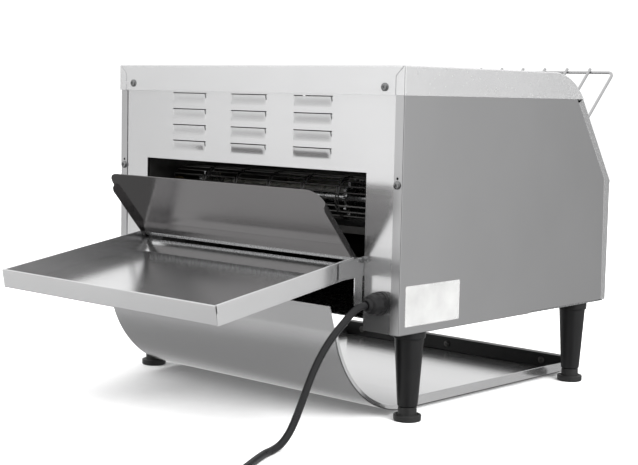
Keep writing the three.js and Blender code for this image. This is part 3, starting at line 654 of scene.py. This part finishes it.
def dial_marks(x, name):
    """Printed ticks round a knob on the front."""
    ticks = []
    for i in range(11):
        angle = math.radians(225 - 27 * i)
        inner, outer, half = 21.5 * MM, (27 if i % 5 == 0 else 25) * MM, 0.35 * MM
        run = Vector((math.cos(angle), math.sin(angle)))
        side = Vector((-run.y, run.x)) * half
        corners = [run * inner + side, run * outer + side, run * outer - side, run * inner - side]
        outline = [(x + p.x, CONTROL_Z + p.y) for p in corners]
        ticks.append(plate("tick", outline, FRONT - 0.12 * MM, FRONT - 0.02 * MM, along_y))
    marks = dress(settle(joined(f"dial_marks_{name}", *ticks)), "black_plastic", "root")
    marks.data.materials[0] = PRINTED_INK


top_cover()
side_panel(-1, "left")
side_panel(1, "right")
rear_panel()
rating_label()


# ---------------------------------------------------------------- rear tray and flap
TRAY_AT = (0, REAR + 0.003, 0.1612)
TRAY_SLOPE = math.radians(-9.2)
FLAP_AT = (0, REAR + 0.0042, 0.178)
FLAP_SLOPE = math.radians(49.5)


def tray_frame():
    """The tray's own frame: x across, y out along the floor, z up from it."""
    return Matrix.Translation(TRAY_AT) @ Matrix.Rotation(TRAY_SLOPE, 4, "X")


def rear_tray():
    half, length, wall, hem, fold = 0.178, 0.213, 21.5 * MM, 9 * MM, 2.6 * MM
    floor = [
        (0.3 * MM, 9.5 * MM), (24 * MM, 0.3 * MM), (length, 0), (length, wall),
        (length - fold, wall), (length - fold, wall - hem),
    ]
    pan = ribbon("pan", filleted(floor, 1.3 * MM), SHEET, -half, half)
    sides = []
    for side in (-1, 1):
        line = [
            (side * (half - 14 * MM), 0.1 * MM), (side * half, 0), (side * half, wall),
            (side * (half - fold), wall), (side * (half - fold), wall - hem),
        ]
        thickness = SHEET if side > 0 else -SHEET
        sides.append(ribbon("side", filleted(line, 1.3 * MM), thickness, 7 * MM, length - 0.7 * MM, along_y))
    tray = joined("rear_tray_folded", pan, *sides)
    settle(tray, edge=0.12 * MM)
    tray.data.transform(tray_frame())
    dress(tray, "steel", "tray", "rear_tray")


def flap_frame():
    """The flap's own frame: x along the hinge, y out along the plate, z off its upper face."""
    return Matrix.Translation(FLAP_AT) @ Matrix.Rotation(FLAP_SLOPE, 4, "X")


def deflector_flap():
    half, length, corner, crease = 0.175, 0.100, 18 * MM, 21 * MM  # clears the hems inside the tray
    reach = half - corner
    outline = [(-half, crease), (half, crease)]
    outline += arc(reach, length - corner, corner, 0, 90, 20)
    outline += arc(-reach, length - corner, corner, 90, 180, 20)
    main = plate("main", outline, 0, SHEET, along_z)
    foot = ribbon("foot", [(crease, 0), (5.5 * MM, -3.4 * MM)], -SHEET, -half, half)
    ear = [
        (-4.6 * MM, 2.5 * MM), (-5 * MM, -2.5 * MM), (-2.5 * MM, -4.6 * MM), (4 * MM, -6 * MM),
        (76 * MM, -6 * MM), (80 * MM, -4 * MM), (length - corner, 0.6 * MM), (crease, 0.6 * MM),
        (5 * MM, 0.8 * MM), (0, 4 * MM),
    ]
    ears = [
        plate("ear", ear, min(side * half, side * (half - SHEET)), max(side * half, side * (half - SHEET)))
        for side in (-1, 1)
    ]
    flap = settle(joined("deflector_flap_plate", main, foot, *ears), edge=0.2 * MM)
    flap.data.transform(flap_frame())
    dress(flap, "mirror_steel", "flap", "deflector_flap")


rear_tray()
deflector_flap()


# ---------------------------------------------------------------- return chute
CHUTE_LOW, CHUTE_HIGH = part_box("return_chute")
CHUTE_BEND_Y = REAR - 0.070
CHUTE_BEND_R = 123.8 * MM
CHUTE_LIP = (REAR + 0.060, 0.133)


def return_chute():
    centre_z = CHUTE_LOW.z + CHUTE_BEND_R
    half = CHUTE_HIGH.x
    bend = arc(CHUTE_BEND_Y, centre_z, CHUTE_BEND_R, -10, -90, 48)
    line = [CHUTE_LIP] + bend + [(CHUTE_LOW.y, CHUTE_LOW.z)]
    parts = [ribbon("sheet", line, -SHEET, -half, half)]
    flange, hem = 12 * MM, 5 * MM
    flat = [
        (CHUTE_LOW.y, CHUTE_LOW.z), (CHUTE_LOW.y, CHUTE_LOW.z + flange),
        (CHUTE_BEND_Y - 14 * MM, CHUTE_LOW.z + flange), (CHUTE_BEND_Y, CHUTE_LOW.z + hem),
        (CHUTE_BEND_Y, CHUTE_LOW.z),
    ]
    curve = bend + list(reversed(arc(CHUTE_BEND_Y, centre_z, CHUTE_BEND_R - hem, -10, -90, 48)))
    for side in (-1, 1):
        x0, x1 = sorted((side * half, side * (half - SHEET)))
        parts += [plate("flat_side", flat, x0, x1), plate("curved_side", curve, x0, x1)]
    chute = settle(joined("return_chute_sheet", *parts), edge=0.2 * MM)
    dress(chute, "steel", "chute", "return_chute")


def stop_bar_screws():
    low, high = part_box("chute_stop_bar")
    for i, x in enumerate((low.x + 0.03, 0, high.x - 0.03)):
        place = (x, high.y, (low.z + high.z) / 2)
        screw(f"stop_bar_screw_{i + 1}", place, (0, 1, 0), "chute", turn=i, finish="chain_steel")


return_chute()
stop_bar_screws()


# ---------------------------------------------------------------- legs and feet
def leg(name):
    low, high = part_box(name)
    centre = ((low.x + high.x) / 2, (low.y + high.y) / 2, 0)
    top_r = (high.x - low.x) / 2
    bottom_r, shoulder = 11.2 * MM, high.z - 7 * MM
    profile = [
        (4.6 * MM, low.z + 12 * MM), (4.6 * MM, low.z), (bottom_r - 1 * MM, low.z), (bottom_r, low.z + 1 * MM),
        (bottom_r + 0.6 * MM, low.z + 7 * MM), (top_r - 1.8 * MM, shoulder - 1.6 * MM),
        (top_r - 1.4 * MM, shoulder - 1.0 * MM), (top_r - 0.3 * MM, shoulder - 0.3 * MM),
        (top_r, shoulder + 0.4 * MM), (top_r, high.z - 0.6 * MM), (top_r - 0.6 * MM, high.z), (0, high.z),
    ]
    post = turned(f"{name}_post", profile)
    post.data.transform(Matrix.Translation(centre))
    dress(settle(post), "motor_paint", "root", name)


def foot(name, body):
    low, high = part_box(name)
    centre = ((low.x + high.x) / 2, (low.y + high.y) / 2, 0)
    disc_r = (high.x - low.x) / 2
    profile = [(0, 0), (disc_r - 2.2 * MM, 0)]
    profile += arc(disc_r - 1.6 * MM, 1.8 * MM, 1.6 * MM, -60, 0, 4)
    profile += arc(disc_r - 1.3 * MM, 5.9 * MM, 1.3 * MM, 0, 100, 5)
    profile += [
        (disc_r - 3.2 * MM, 6.0 * MM), (12 * MM, 5.6 * MM), (11.1 * MM, 6.2 * MM), (10.5 * MM, 7.6 * MM),
        (10.4 * MM, 15 * MM), (10 * MM, 15.6 * MM), (4 * MM, 15.7 * MM), (4 * MM, high.z), (0, high.z),
    ]
    pad = turned(f"{name}_pad", profile)
    pad.data.transform(Matrix.Translation(centre))
    dress(settle(pad), "black_rubber", body, name)


CORNERS = [(end, side) for end in ("front", "rear") for side in ("left", "right")]
for end, side in CORNERS:
    leg(f"leg_{end}_{side}")
    foot(f"foot_{end}_{side}", f"{end}_{side}_foot")


# ---------------------------------------------------------------- feed rack
def feed_rack():
    tip = Vector((0, REAR - 0.499, 0.3915))
    end = Vector((0, REAR - 0.381, 0.272))
    half, radius, corner, wires = 0.180, 1.8 * MM, 8 * MM, 9
    length = (end - tip).length
    lie = Matrix.Translation(tip) @ Matrix.Rotation(math.atan2(end.z - tip.z, end.y - tip.y), 4, "X")
    left = arc(corner - half, corner, corner, 180, 270, 10)
    right = arc(half - corner, corner, corner, 270, 360, 10)
    outline = [(-half, length), (-half, length / 2)] + left + [(0, 0)]
    outline += right + [(half, length / 2), (half, length)]
    parts = [wire("frame", [(x, y, 0) for x, y in outline], radius, 12)]
    lift = 2 * radius - 0.4 * MM
    for i in range(1, wires + 1):
        x = -half + i * 2 * half / (wires + 1)
        parts.append(wire("rod", [(x, -3.5 * MM, lift), (x, length - 2 * MM, lift)], radius, 12))
    for y in (length * 0.6, length - 4 * MM):
        parts.append(wire("bar", [(-half, y, 0), (half, y, 0)], radius, 12))
    rack = settle(joined("feed_rack_wires", *parts))
    rack.data.transform(lie)
    dress(rack, "chromed_wire", "rack", "feed_rack")


feed_rack()


# ---------------------------------------------------------------- conveyor belt
BELT_LOW, BELT_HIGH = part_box("conveyor_belt")
BELT_PITCHES = 96
BELT_WIRE = 0.9 * MM
BELT_HOOKS = 6


def conveyor_belt():
    """Cross wires bent into hooks that catch the next wire, all round the two shafts."""
    radius = (BELT_HIGH.z - BELT_LOW.z) / 2 - BELT_WIRE
    centre_z = (BELT_HIGH.z + BELT_LOW.z) / 2
    rear, front = BELT_HIGH.y - BELT_WIRE - radius, BELT_LOW.y + BELT_WIRE + radius
    flat, turn = rear - front, math.pi * radius
    pitch = (2 * flat + 2 * turn) / BELT_PITCHES

    def on_loop(x, run, inset=0.0):
        run %= 2 * (flat + turn)
        r = radius - inset
        if run < flat:
            return (x, front + run, centre_z + r)
        if run < flat + turn:
            angle = (run - flat) / radius
            return (x, rear + r * math.sin(angle), centre_z + r * math.cos(angle))
        if run < 2 * flat + turn:
            return (x, rear - (run - flat - turn), centre_z - r)
        angle = (run - 2 * flat - turn) / radius
        return (x, front - r * math.sin(angle), centre_z - r * math.cos(angle))

    half = BELT_HIGH.x - BELT_WIRE
    step = 2 * half / BELT_HOOKS
    hook = 3 * MM
    strands = []
    for i in range(BELT_PITCHES):
        start = i * pitch
        path = [on_loop(-half, start + pitch * 0.45)]
        for k in range(BELT_HOOKS + 1):
            x = -half + k * step
            if k == 0:
                path += [on_loop(x, start), on_loop(x + hook, start)]
            elif k == BELT_HOOKS:
                path += [on_loop(x - hook, start), on_loop(x, start), on_loop(x, start + pitch * 0.45)]
            else:
                reach = start + pitch * 1.12
                path += [
                    on_loop(x - hook, start), on_loop(x - hook * 0.7, start + pitch * 0.3),
                    on_loop(x - hook * 0.5, reach - BELT_WIRE, 1.2 * MM), on_loop(x, reach, 1.2 * MM),
                    on_loop(x + hook * 0.5, reach - BELT_WIRE, 1.2 * MM),
                    on_loop(x + hook * 0.7, start + pitch * 0.3), on_loop(x + hook, start),
                ]
        strands.append(wire("strand", path, BELT_WIRE, 6))
    belt = settle(joined("conveyor_belt_wires", *strands))
    dress(belt, "chain_steel", "root", "conveyor_belt")


conveyor_belt()


# ---------------------------------------------------------------- front controls
def knob(name, body):
    low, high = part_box(name)
    x = (low.x + high.x) / 2
    skirt, grip = 19 * MM, 14.6 * MM
    profile = [(0, -13 * MM), (3 * MM, -13 * MM), (3 * MM, 0.7 * MM), (skirt - 0.8 * MM, 0.7 * MM)]
    profile += arc(skirt - 1 * MM, 1.7 * MM, 1 * MM, -80, 0, 4)
    profile += arc(skirt - 1.4 * MM, 3.8 * MM, 1.4 * MM, 0, 80, 5)
    profile += [(grip + 1.4 * MM, 5.9 * MM), (grip + 0.3 * MM, 6.8 * MM)]
    profile += [(grip, 8.4 * MM), (grip - 0.7 * MM, 16 * MM)]
    profile += arc(grip - 2.5 * MM, 17.6 * MM, 1.8 * MM, 10, 85, 5) + [(0, 19.5 * MM)]

    def fluted(radius, height, angle):
        if height < 8 * MM or height > 18.5 * MM or radius < 10 * MM:
            return radius
        return radius - 0.45 * MM * (0.5 + 0.5 * math.cos(24 * angle))

    dial = settle(turned("dial", profile, 144, fluted))
    pointer = settle(block("pointer", (-2.2 * MM, 0, 10 * MM), (2.2 * MM, 17 * MM, 21 * MM)), edge=0.9 * MM)
    inlay = settle(block("inlay", (-0.6 * MM, 5 * MM, 20.8 * MM), (0.6 * MM, 16 * MM, 21.08 * MM)))
    whole = joined(f"{name}_moulding", dial, pointer)
    for part in (whole, inlay):
        part.data.transform(Matrix.Translation((x, FRONT, CONTROL_Z)) @ Matrix.Rotation(math.pi / 2, 4, "X"))
    settle(whole)
    dress(whole, "black_plastic", body, name)
    inlay.name = f"{name}_line"
    dress(inlay, "cream_plastic", body)
    inlay.data.materials[0] = WHITE_INLAY
    dial_marks(x, name)


knob("heat_knob", "heat_dial")
knob("speed_knob", "speed_dial")


# ---------------------------------------------------------------- gland, plug and tie
GLAND_LOW, GLAND_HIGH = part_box("cord_gland")
GLAND_AT = Vector(((GLAND_LOW.x + GLAND_HIGH.x) / 2, REAR, (GLAND_LOW.z + GLAND_HIGH.z) / 2))


def cord_gland():
    """A flanged bush, its grip nut and the tapered sleeve that the cord leaves through."""
    profile = [(0, -8 * MM), (8 * MM, -8 * MM), (8 * MM, -0.5 * MM)]
    profile += [(12.6 * MM, -0.5 * MM), (13 * MM, 0.2 * MM)]
    profile += [(13 * MM, 2.4 * MM), (12.4 * MM, 3.0 * MM), (11.9 * MM, 3.2 * MM), (12.4 * MM, 3.8 * MM)]
    profile += [(12.4 * MM, 8.6 * MM), (11.6 * MM, 9.6 * MM), (11.1 * MM, 11 * MM), (10.6 * MM, 15 * MM)]
    profile += arc(6.6 * MM, 16.2 * MM, 3.9 * MM, 5, 62, 6) + [(7.1 * MM, 20.3 * MM), (6.6 * MM, 22.6 * MM)]
    profile += [(6.2 * MM, 24.0 * MM), (5.2 * MM, 24.5 * MM), (4.3 * MM, 24.2 * MM)]
    profile += [(4.1 * MM, 20 * MM), (0, 20 * MM)]

    def gripped(radius, height, angle):
        if 3.5 * MM < height < 9 * MM:
            return radius - 0.6 * MM * max(math.cos(12 * angle), 0) ** 2
        return radius

    gland = settle(turned("cord_gland_sleeve", profile, 96, gripped))
    pose_mesh(gland, GLAND_AT, (0, 1, 0))
    return dress(gland, "black_plastic", "root", "cord_gland")


def power_plug():
    """A round moulded plug with a ribbed neck and two pins, lying along the coil's tail."""
    start = Vector(tail_point(0.046, 0.0144))
    axis = Vector((-math.sin(COIL_ENTRY), math.cos(COIL_ENTRY), 0))
    profile = [(0, 0), (4.9 * MM, 0), (5.3 * MM, 0.6 * MM)]
    for i in range(6):
        height = (2 + 3.3 * i) * MM
        radius = (5.3 + 0.16 * i) * MM
        profile += [(radius, height), (radius, height + 1.7 * MM), (radius - 0.9 * MM, height + 2.1 * MM)]
        profile += [(radius - 0.9 * MM, height + 2.9 * MM)]
    profile += [(6.6 * MM, 22.5 * MM), (8.2 * MM, 25 * MM), (11 * MM, 28 * MM)]
    profile += [(13.2 * MM, 32 * MM), (13.9 * MM, 36 * MM)]
    profile += [(13.9 * MM, 49 * MM)] + arc(12.4 * MM, 50.4 * MM, 1.5 * MM, 0, 90, 5) + [(0, 52 * MM)]
    body = settle(turned("power_plug_body", profile, 72))
    pins = []
    for x in (-9.5 * MM, 9.5 * MM):
        shank = [(0, 50 * MM), (2.4 * MM, 50 * MM), (2.4 * MM, 68 * MM)]
        shank += arc(1 * MM, 68.4 * MM, 1.4 * MM, 10, 85, 5)
        pin = turned("pin", shank + [(0, 69.9 * MM)], 32)
        pin.data.transform(Matrix.Translation((x, 0, 0)))
        pins.append(pin)
    pins = settle(joined("power_plug_pins", *pins))
    side = axis.cross(Vector((0, 0, 1)))
    lie = Matrix((side, Vector((0, 0, 1)), axis)).transposed().to_4x4()
    if lie.determinant() < 0:
        lie = Matrix((-side, Vector((0, 0, 1)), axis)).transposed().to_4x4()
    for part in (body, pins):
        part.data.transform(Matrix.Translation(start) @ lie)
    dress(body, "cord_rubber", "root", "power_plug")
    dress(pins, "zinc", "root")
    return body, pins


def coil_tie():
    """A hook-and-loop strap round the coil, with its free end folded back."""
    angle = COIL_ENTRY + math.radians(200)
    outward = Vector((math.cos(angle), math.sin(angle), 0))
    inner, outer = COIL_OUTER - 4 * CORD_RADIUS - CORD_RADIUS - 0.4 * MM, COIL_OUTER + CORD_RADIUS + 0.4 * MM
    low, high, corner = 0.62 * MM, CORD_ROUTE[-1][2] + 3 * CORD_RADIUS + 0.4 * MM, 3.2 * MM
    loop = arc(outer - corner, high - corner, corner, 90, 0, 6)
    loop += arc(outer - corner, low + corner, corner, 0, -90, 6)
    loop += arc(inner + corner, low + corner, corner, -90, -180, 6)
    loop += arc(inner + corner, high - corner, corner, 180, 90, 6)
    loop += [(outer - corner - 2 * MM, high + 0.7 * MM)]
    middle = Vector((COIL_CENTRE.x, COIL_CENTRE.y, 0))
    side = Vector((-outward.y, outward.x, 0))

    def place(a, b, t):
        return tuple(middle + outward * a + side * t + Vector((0, 0, b)))

    tie = settle(ribbon("coil_tie", loop, 0.6 * MM, -6 * MM, 6 * MM, place), edge=0.1 * MM)
    return dress(tie, "black_rubber", "root")


gland = cord_gland()
plug, plug_pins = power_plug()
tie = coil_tie()
dress(cord, "cord_rubber", "root", "power_cord", "cord_coil", "cord_tail")


def declare_cord():
    """Reads the first point of the cord's curve and does nothing more with it."""
    spline = cord.data.splines[0]
    start = tuple(spline.bezier_points[0].co)


declare_cord()

# ---------------------------------------------------------------- CAD shapes kept, with softened edges
# Each group: finish, bevel width, and the nodes that share them.
REFINED = [
    ("zinc", 0.3 * MM, ["base_pan", "front_shaft", "rear_shaft", "drive_sprocket", "motor_pinion"]),
    ("zinc", 0.3 * MM, ["flap_hinge_rod"] + [f"{corner[0]}_sprocket_{corner[1]}" for corner in CORNERS]),
    ("bronze", 0.3 * MM, [f"{corner[0]}_bearing_{corner[1]}" for corner in CORNERS]),
    ("steel", 0.3 * MM, ["front_panel", "left_tray_bracket", "right_tray_bracket"]),
    ("dark_steel", 0.3 * MM, ["left_inner_wall", "right_inner_wall", "upper_reflector", "lower_reflector"]),
    ("heater_tube", 0.6 * MM, [f"{bank}_heater_{i}" for bank in ("upper", "lower") for i in (1, 2)]),
    ("chain_steel", 0.4 * MM, ["drive_chain"]),
    ("motor_paint", 1.2 * MM, ["gear_motor"]),
    ("black_plastic", 0.8 * MM, ["fan_frame", "power_switch", "speed_controller", "chute_stop_bar"]),
    ("black_plastic", 0.3 * MM, ["fan_rotor", "power_rocker"]),
    ("cream_plastic", 0.8 * MM, ["terminal_block", "heat_selector"]),
    ("red_lens", 0.3 * MM, ["pilot_lamp"]),
]
BODY_OF = {node: body for body, nodes in frame["record"]["behaviour"]["bodies"].items() for node in nodes}


def refined(node, finish, edge):
    """A copy of a CAD node with its flat faces whole, its edges softened and its round faces smooth."""
    mesh = frame["nodes"][node].data.copy()
    shape = bmesh.new()
    shape.from_mesh(mesh)
    bmesh.ops.remove_doubles(shape, verts=shape.verts, dist=2e-6)
    bmesh.ops.dissolve_limit(shape, angle_limit=math.radians(1), verts=shape.verts, edges=shape.edges)
    shape.to_mesh(mesh)
    shape.free()
    for name in ("custom_normal", "sharp_face", "sharp_edge"):
        if name in mesh.attributes:
            mesh.attributes.remove(mesh.attributes[name])
    obj = bpy.data.objects.new(f"{node}_finished", mesh)
    bpy.context.collection.objects.link(obj)
    dress(settle(obj, edge=edge), finish, BODY_OF[node], node)


for finish, edge, nodes in REFINED:
    for node in nodes:
        refined(node, finish, edge)
discard(SCREW)


# ---------------------------------------------------------------- studio
def area_light(name, place, aim, size, power):
    data = bpy.data.lights.new(name, "AREA")
    data.shape = "DISK"
    data.size = size
    data.energy = power
    light = bpy.data.objects.new(name, data)
    bpy.context.collection.objects.link(light)
    light.location = place
    light.rotation_euler = (Vector(aim) - Vector(place)).to_track_quat("-Z", "Y").to_euler()
    light.visible_glossy = False
    light.visible_camera = False


def sun_light(name, towards, strength, spread):
    data = bpy.data.lights.new(name, "SUN")
    data.energy = strength
    data.angle = spread
    light = bpy.data.objects.new(name, data)
    bpy.context.collection.objects.link(light)
    light.rotation_euler = Vector(towards).to_track_quat("Z", "Y").to_euler()
    light.visible_glossy = False


# The light that the metal mirrors, at angles in degrees from straight up.
UP_AND_DOWN = [(0, 1.0), (60, 1.0), (92, 0.97), (104, 0.76), (116, 0.48), (132, 0.24), (180, 0.3)]
# Its share round the middle of each grey side: the side's azimuth, and stops in degrees from its middle.
GREY_SIDES = [
    (250, [(0, 0.26), (10, 0.34), (20, 0.62), (34, 0.9), (120, 0.98), (180, 1.0)]),
    (31, [(0, 0.5), (6, 0.55), (12, 0.86), (18, 1.0), (180, 1.0)]),
    (122, [(0, 0.1), (18, 0.16), (40, 0.95), (180, 1.0)]),
]


def studio_world():
    """White to the eye; what the metal mirrors is light, with grey sides and a greyer floor."""
    world = bpy.data.worlds.new("studio")
    bpy.context.scene.world = world
    world.use_nodes = True
    nodes, links = world.node_tree.nodes, world.node_tree.links
    nodes.clear()
    coordinates = nodes.new("ShaderNodeTexCoord").outputs["Generated"]

    def angle_from(direction):
        dot = nodes.new("ShaderNodeVectorMath")
        dot.operation = "DOT_PRODUCT"
        dot.inputs[1].default_value = Vector(direction).normalized()
        links.new(coordinates, dot.inputs[0])
        arccos = nodes.new("ShaderNodeMath")
        arccos.operation = "ARCCOSINE"
        links.new(dot.outputs["Value"], arccos.inputs[0])
        share = nodes.new("ShaderNodeMath")
        share.operation = "DIVIDE"
        share.inputs[1].default_value = math.pi
        links.new(arccos.outputs["Value"], share.inputs[0])
        return share.outputs["Value"]

    def ramp(value, stops):
        node = nodes.new("ShaderNodeValToRGB")
        node.color_ramp.interpolation = "EASE"
        elements = node.color_ramp.elements
        while len(elements) < len(stops):
            elements.new(0.5)
        for element, (angle, level) in zip(elements, stops):
            element.position = angle / 180
            element.color = (level, level, level, 1)
        links.new(value, node.inputs["Fac"])
        return node.outputs["Color"]

    def times(first, second):
        product = nodes.new("ShaderNodeVectorMath")
        product.operation = "MULTIPLY"
        links.new(first, product.inputs[0])
        links.new(second, product.inputs[1])
        return product.outputs["Vector"]

    level = ramp(angle_from((0, 0, 1)), UP_AND_DOWN)
    for azimuth, stops in GREY_SIDES:
        middle = (math.cos(math.radians(azimuth)), math.sin(math.radians(azimuth)), 0)
        level = times(level, ramp(angle_from(middle), stops))
    mirrored = nodes.new("ShaderNodeBackground")
    links.new(level, mirrored.inputs["Color"])
    seen = nodes.new("ShaderNodeBackground")
    seen.inputs["Color"].default_value = (1, 1, 1, 1)
    seen.inputs["Strength"].default_value = 1.1
    light_path = nodes.new("ShaderNodeLightPath")
    mix = nodes.new("ShaderNodeMixShader")
    output = nodes.new("ShaderNodeOutputWorld")
    links.new(light_path.outputs["Is Camera Ray"], mix.inputs["Fac"])
    links.new(mirrored.outputs["Background"], mix.inputs[1])
    links.new(seen.outputs["Background"], mix.inputs[2])
    links.new(mix.outputs["Shader"], output.inputs["Surface"])


def floor():
    sheet = build("floor", [(-4, -4, 0), (4, -4, 0), (4, 4, 0), (-4, 4, 0)], [(0, 1, 2, 3)])
    paper = Shader("floor_paper", 0.0, Specular_IOR_Level=0.0)
    fibre = paper.noise(60, detail=3)
    paper.tint(fibre, (0.93, 0.93, 0.93), (0.95, 0.95, 0.95))
    paper.roughness(paper.spread(fibre, 0.85, 0.95))
    sheet.data.materials.append(paper.material)
    sheet.visible_glossy = False
    sheet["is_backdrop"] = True


studio_world()
floor()
sun_light("key", (-0.25, 0.35, 1), 4.3, math.radians(90))
area_light("side_fill", (-2.6, 0.4, 1.1), (0, 0, 0.2), 1.6, 80)
scene = bpy.context.scene
scene.view_settings.view_transform = "Standard"
scene.render.film_transparent = False


# ---------------------------------------------------------------- sizes
def corners(box):
    return [[round(value, 6) for value in corner] for corner in box]


{"cad": corners(cad_box), "visual": corners(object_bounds())}
